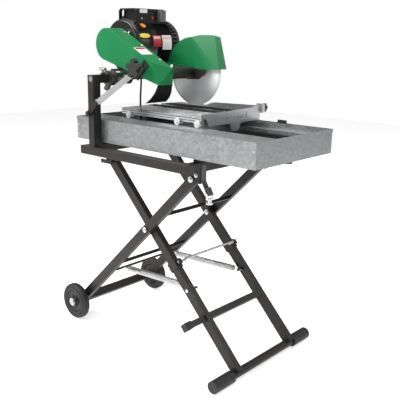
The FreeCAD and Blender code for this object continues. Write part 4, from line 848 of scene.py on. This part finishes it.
# ---------- cart details ----------
def cartDetails():
    low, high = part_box("table_plates")
    length = high.x - low.x
    # black strips painted as the shade inside the rail grooves
    groove = finishes["black_plastic"]
    for name, y in (("near", low.y + 0.0006), ("far", high.y - 0.0006)):
        slots = rowOfBlocks.grown(groove, Count=2, Step=(0.0, 0.0, 0.0085), Size=(length - 0.006, 0.0014, 0.0022),
                                  matrix=Matrix.Translation(((low.x + high.x) / 2, y + (0.0008 if name == "near" else
                                                             -0.0008), low.z - 0.012)))
        settle("railGrooves" + name.title(), slots, "cart", 0.0003)
    lines = rowOfBlocks.grown(castAluminium, Count=9, Step=(0.0, 0.014, 0.0), Size=(length - 0.01, 0.0016, 0.0007),
                              matrix=Matrix.Translation(((low.x + high.x) / 2, low.y + 0.014, high.z)))
    settle("tableRidges", lines, "cart", 0.0002)


cartDetails()


# ---------- weld beads on the stand ----------
def weldLines():
    def lines(name, ends):
        mesh = bpy.data.meshes.new(name)
        mesh.from_pydata([point for pair in ends for point in pair], [(2 * at, 2 * at + 1) for at in range(len(ends))],
                         [])
        return mesh

    low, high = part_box("stand_frame")
    railLow, railHigh = 0.745, 0.777
    corners = []
    for x in (low.x + 0.035, high.x - 0.035):
        for y in (low.y + 0.035, high.y - 0.035):
            corners.append(((x, y, railLow), (x, y, railHigh)))
    settle("frameWelds", weldBeads.grown(blackPaint, start=lines("frameSeams", corners)), "frame", sharp=80.0)
    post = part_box("post")
    foot = [((post[0].x, post[0].y + 0.0005, railHigh), (post[1].x, post[0].y + 0.0005, railHigh)),
            ((post[1].x, post[0].y, railHigh), (post[1].x, post[0].y + 0.035, railHigh)),
            ((post[0].x, post[0].y, railHigh), (post[0].x, post[0].y + 0.035, railHigh))]
    settle("postWelds", weldBeads.grown(blackPaint, start=lines("postSeams", foot)), "frame", sharp=80.0)
    axle = middle("wheel_axle")
    ends = []
    for y in (-0.1805, 0.1805):
        for side in (-1, 1):
            across = Vector((math.cos(wheelLean), 0, -math.sin(wheelLean))) * 0.0172 * side
            ends.append((tuple(axle + across + Vector((-0.008, y, -0.008))),
                         tuple(axle + across + Vector((0.008, y, 0.008)))))
    settle("axleWelds", weldBeads.grown(blackPaint, start=lines("axleSeams", ends)), "wheel_leg_frame", sharp=80.0)


weldLines()


# ---------- mixed finishes on single nodes ----------
darkSteel = bareSteel("darkSteel", (0.20, 0.19, 0.18), 0.4)
brightTube = brushedAluminium("armTube", (200.0, 200.0, 3.0), (0.70, 0.71, 0.73))
linkTop = shift - 0.272
skins["lock_arm"].data.materials[0] = brightTube
recolor(skins["lock_arm"], blackPaint, lambda spot: spot.x < linkTop + 0.004 and spot.z < 0.957 and spot.y < -0.2675)
pivot = middle("pivot_shaft")
recolor(skins["pivot_sleeve"], darkSteel, lambda spot: spot.y < -0.148 or math.hypot(spot.x - pivot.x,
                                                                                     spot.z - pivot.z) > 0.0215)
recolor(skins["foot_bars"], zincPlate, lambda spot: 0.1764 < abs(spot.y) < 0.181 and abs(spot.z - 0.2805) < 0.009)
print("mixed finishes set")


# ---------- cords ----------
def route(points, share=0.45, steps=10):
    # straight runs joined by tangent arcs, as a list of close points
    path = [Vector(points[0])]
    for before, corner, after in zip(points, points[1:], points[2:]):
        before, corner, after = Vector(before), Vector(corner), Vector(after)
        into, away = (corner - before).normalized(), (after - corner).normalized()
        setback = share * min((corner - before).length, (after - corner).length)
        half = into.angle(away) / 2
        bend = setback / math.tan(half)
        centre = corner + (away - into).normalized() * (bend / math.cos(half))
        first, last = corner - into * setback - centre, corner + away * setback - centre
        for step in range(steps + 1):
            path.append(centre + first.slerp(last, step / steps) * bend)
    path.append(Vector(points[-1]))
    return path


def tubeMesh(name, path, radius, material, sides=14):
    # one ring at every point of the path, turned as little as possible from the ring before
    vertices, faces = [], []
    across = (path[1] - path[0]).orthogonal().normalized()
    for at, point in enumerate(path):
        ahead = (path[min(at + 1, len(path) - 1)] - path[max(at - 1, 0)]).normalized()
        across = (across - ahead * across.dot(ahead)).normalized()
        other = ahead.cross(across)
        for step in range(sides):
            turn = 2 * math.pi * step / sides
            vertices.append(point + (across * math.cos(turn) + other * math.sin(turn)) * radius)
    for at in range(len(path) - 1):
        for step in range(sides):
            following = (step + 1) % sides
            faces.append((at * sides + step, at * sides + following, (at + 1) * sides + following,
                          (at + 1) * sides + step))
    faces.append(tuple(reversed(range(sides))))
    faces.append(tuple(range((len(path) - 1) * sides, len(path) * sides)))
    mesh = bpy.data.meshes.new(name)
    mesh.from_pydata([tuple(vertex) for vertex in vertices], [], faces)
    mesh.materials.append(material)
    for face in mesh.polygons:
        face.use_smooth = len(face.vertices) == 4
    return mesh


def cords():
    values = {"lead": 0.005, "pump": 0.004}
    lead = [(-0.386, 0.020, 1.276), (-0.442, 0.020, 1.276), (-0.476, 0.014, 1.232), (-0.484, 0.008, 1.178),
            (-0.480, 0.002, 1.128), (-0.466, -0.004, 1.082), (-0.434, -0.008, 1.049), (-0.389, -0.008, 1.049)]
    pump = [(-0.415, 0.090, 0.8435), (-0.418, 0.089, 0.900), (-0.411, 0.084, 0.956), (-0.398, 0.076, 1.005),
            (-0.398, 0.074, 1.0556)]
    for node, points, radius, lay in (("motor_lead", lead, values["lead"], "loose"),
                                      ("pump_cord", pump, values["pump"], "hanging")):
        path = route([(x + shift, y, z) for x, y, z in points])
        length = sum((b - a).length for a, b in zip(path, path[1:]))
        replaced(node)
        piece = link(node + "Tube", tubeMesh(node, path, radius, finishes["rubber"]))
        if node == "pump_cord":
            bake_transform(piece)
        else:
            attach(piece, "head")
        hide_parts(node)
        print(node, "length", round(length, 4))


cords()


# ---------- floor, light and camera ----------
def studio():
    values = {"floorSize": 14.0, "floorColor": (0.93, 0.93, 0.93), "sky": 0.3, "backdrop": 1.0}
    half = values["floorSize"] / 2
    mesh = bpy.data.meshes.new("floor")
    mesh.from_pydata([(-half, -half, 0), (half, -half, 0), (half, half, 0), (-half, half, 0)], [], [(0, 1, 2, 3)])
    floor = link("floor", mesh)
    floor.location.z = cadBox[0][2] - 0.0005
    p = Paint("paleFloor")
    mesh.materials.append(p.finish(values["floorColor"], 0.75, 0.0, Emission_Color=(1.0, 1.0, 1.0, 1.0),
                                   Emission_Strength=0.6))
    world = bpy.data.worlds.new("softRoom")
    world.use_nodes = True
    room = world.node_tree
    dim = room.nodes["Background"]
    dim.inputs[0].default_value = (1.0, 1.0, 1.0, 1.0)
    dim.inputs[1].default_value = values["sky"]
    pale = room.nodes.new("ShaderNodeBackground")
    pale.inputs[0].default_value = (1.0, 1.0, 1.0, 1.0)
    pale.inputs[1].default_value = values["backdrop"]
    choice = room.nodes.new("ShaderNodeMixShader")
    room.links.new(room.nodes.new("ShaderNodeLightPath").outputs["Is Camera Ray"], choice.inputs[0])
    room.links.new(dim.outputs[0], choice.inputs[1])
    room.links.new(pale.outputs[0], choice.inputs[2])
    room.links.new(choice.outputs[0], room.nodes["World Output"].inputs[0])
    bpy.context.scene.world = world
    lamps = {"key": ((-2.2, -3.0, 3.2), 2.0, 165.0), "rim": ((2.6, 2.4, 3.2), 2.0, 40.0),
             "top": ((0.2, -0.2, 4.2), 2.6, 100.0), "front": ((2.4, -3.4, 1.6), 1.6, 12.0)}
    for name, (place, size, power) in lamps.items():
        data = bpy.data.lights.new(name, "AREA")
        data.energy = power
        data.size = size
        lamp = bpy.data.objects.new(name, data)
        lamp.location = place
        lamp.rotation_euler = (Vector((0, 0, 0.8)) - Vector(place)).to_track_quat("-Z", "Y").to_euler()
        bpy.context.scene.collection.objects.link(lamp)


def takeCamera():
    values = {"place": (shift + 1.587, -1.783, 1.196), "turn": 41.415, "dip": 14.548, "roll": 1.09, "lens": 56.58}
    turn, dip, roll = (math.radians(values[name]) for name in ("turn", "dip", "roll"))
    back = Vector((math.sin(turn) * math.cos(dip), -math.cos(turn) * math.cos(dip), math.sin(dip)))
    right = (-back).cross(Vector((0, 0, 1))).normalized()
    up = right.cross(-back)
    side = right * math.cos(roll) + up * math.sin(roll)
    top = up * math.cos(roll) - right * math.sin(roll)
    data = bpy.data.cameras.new("view")
    data.lens = values["lens"]
    data.sensor_width = 36.0
    camera = bpy.data.objects.new("view", data)
    camera.matrix_world = Matrix((side, top, back)).transposed().to_4x4()
    camera.location = values["place"]
    bpy.context.scene.collection.objects.link(camera)
    bpy.context.scene.camera = camera


studio()
takeCamera()
bpy.context.scene.view_settings.view_transform = "Standard"
print("studio ready")
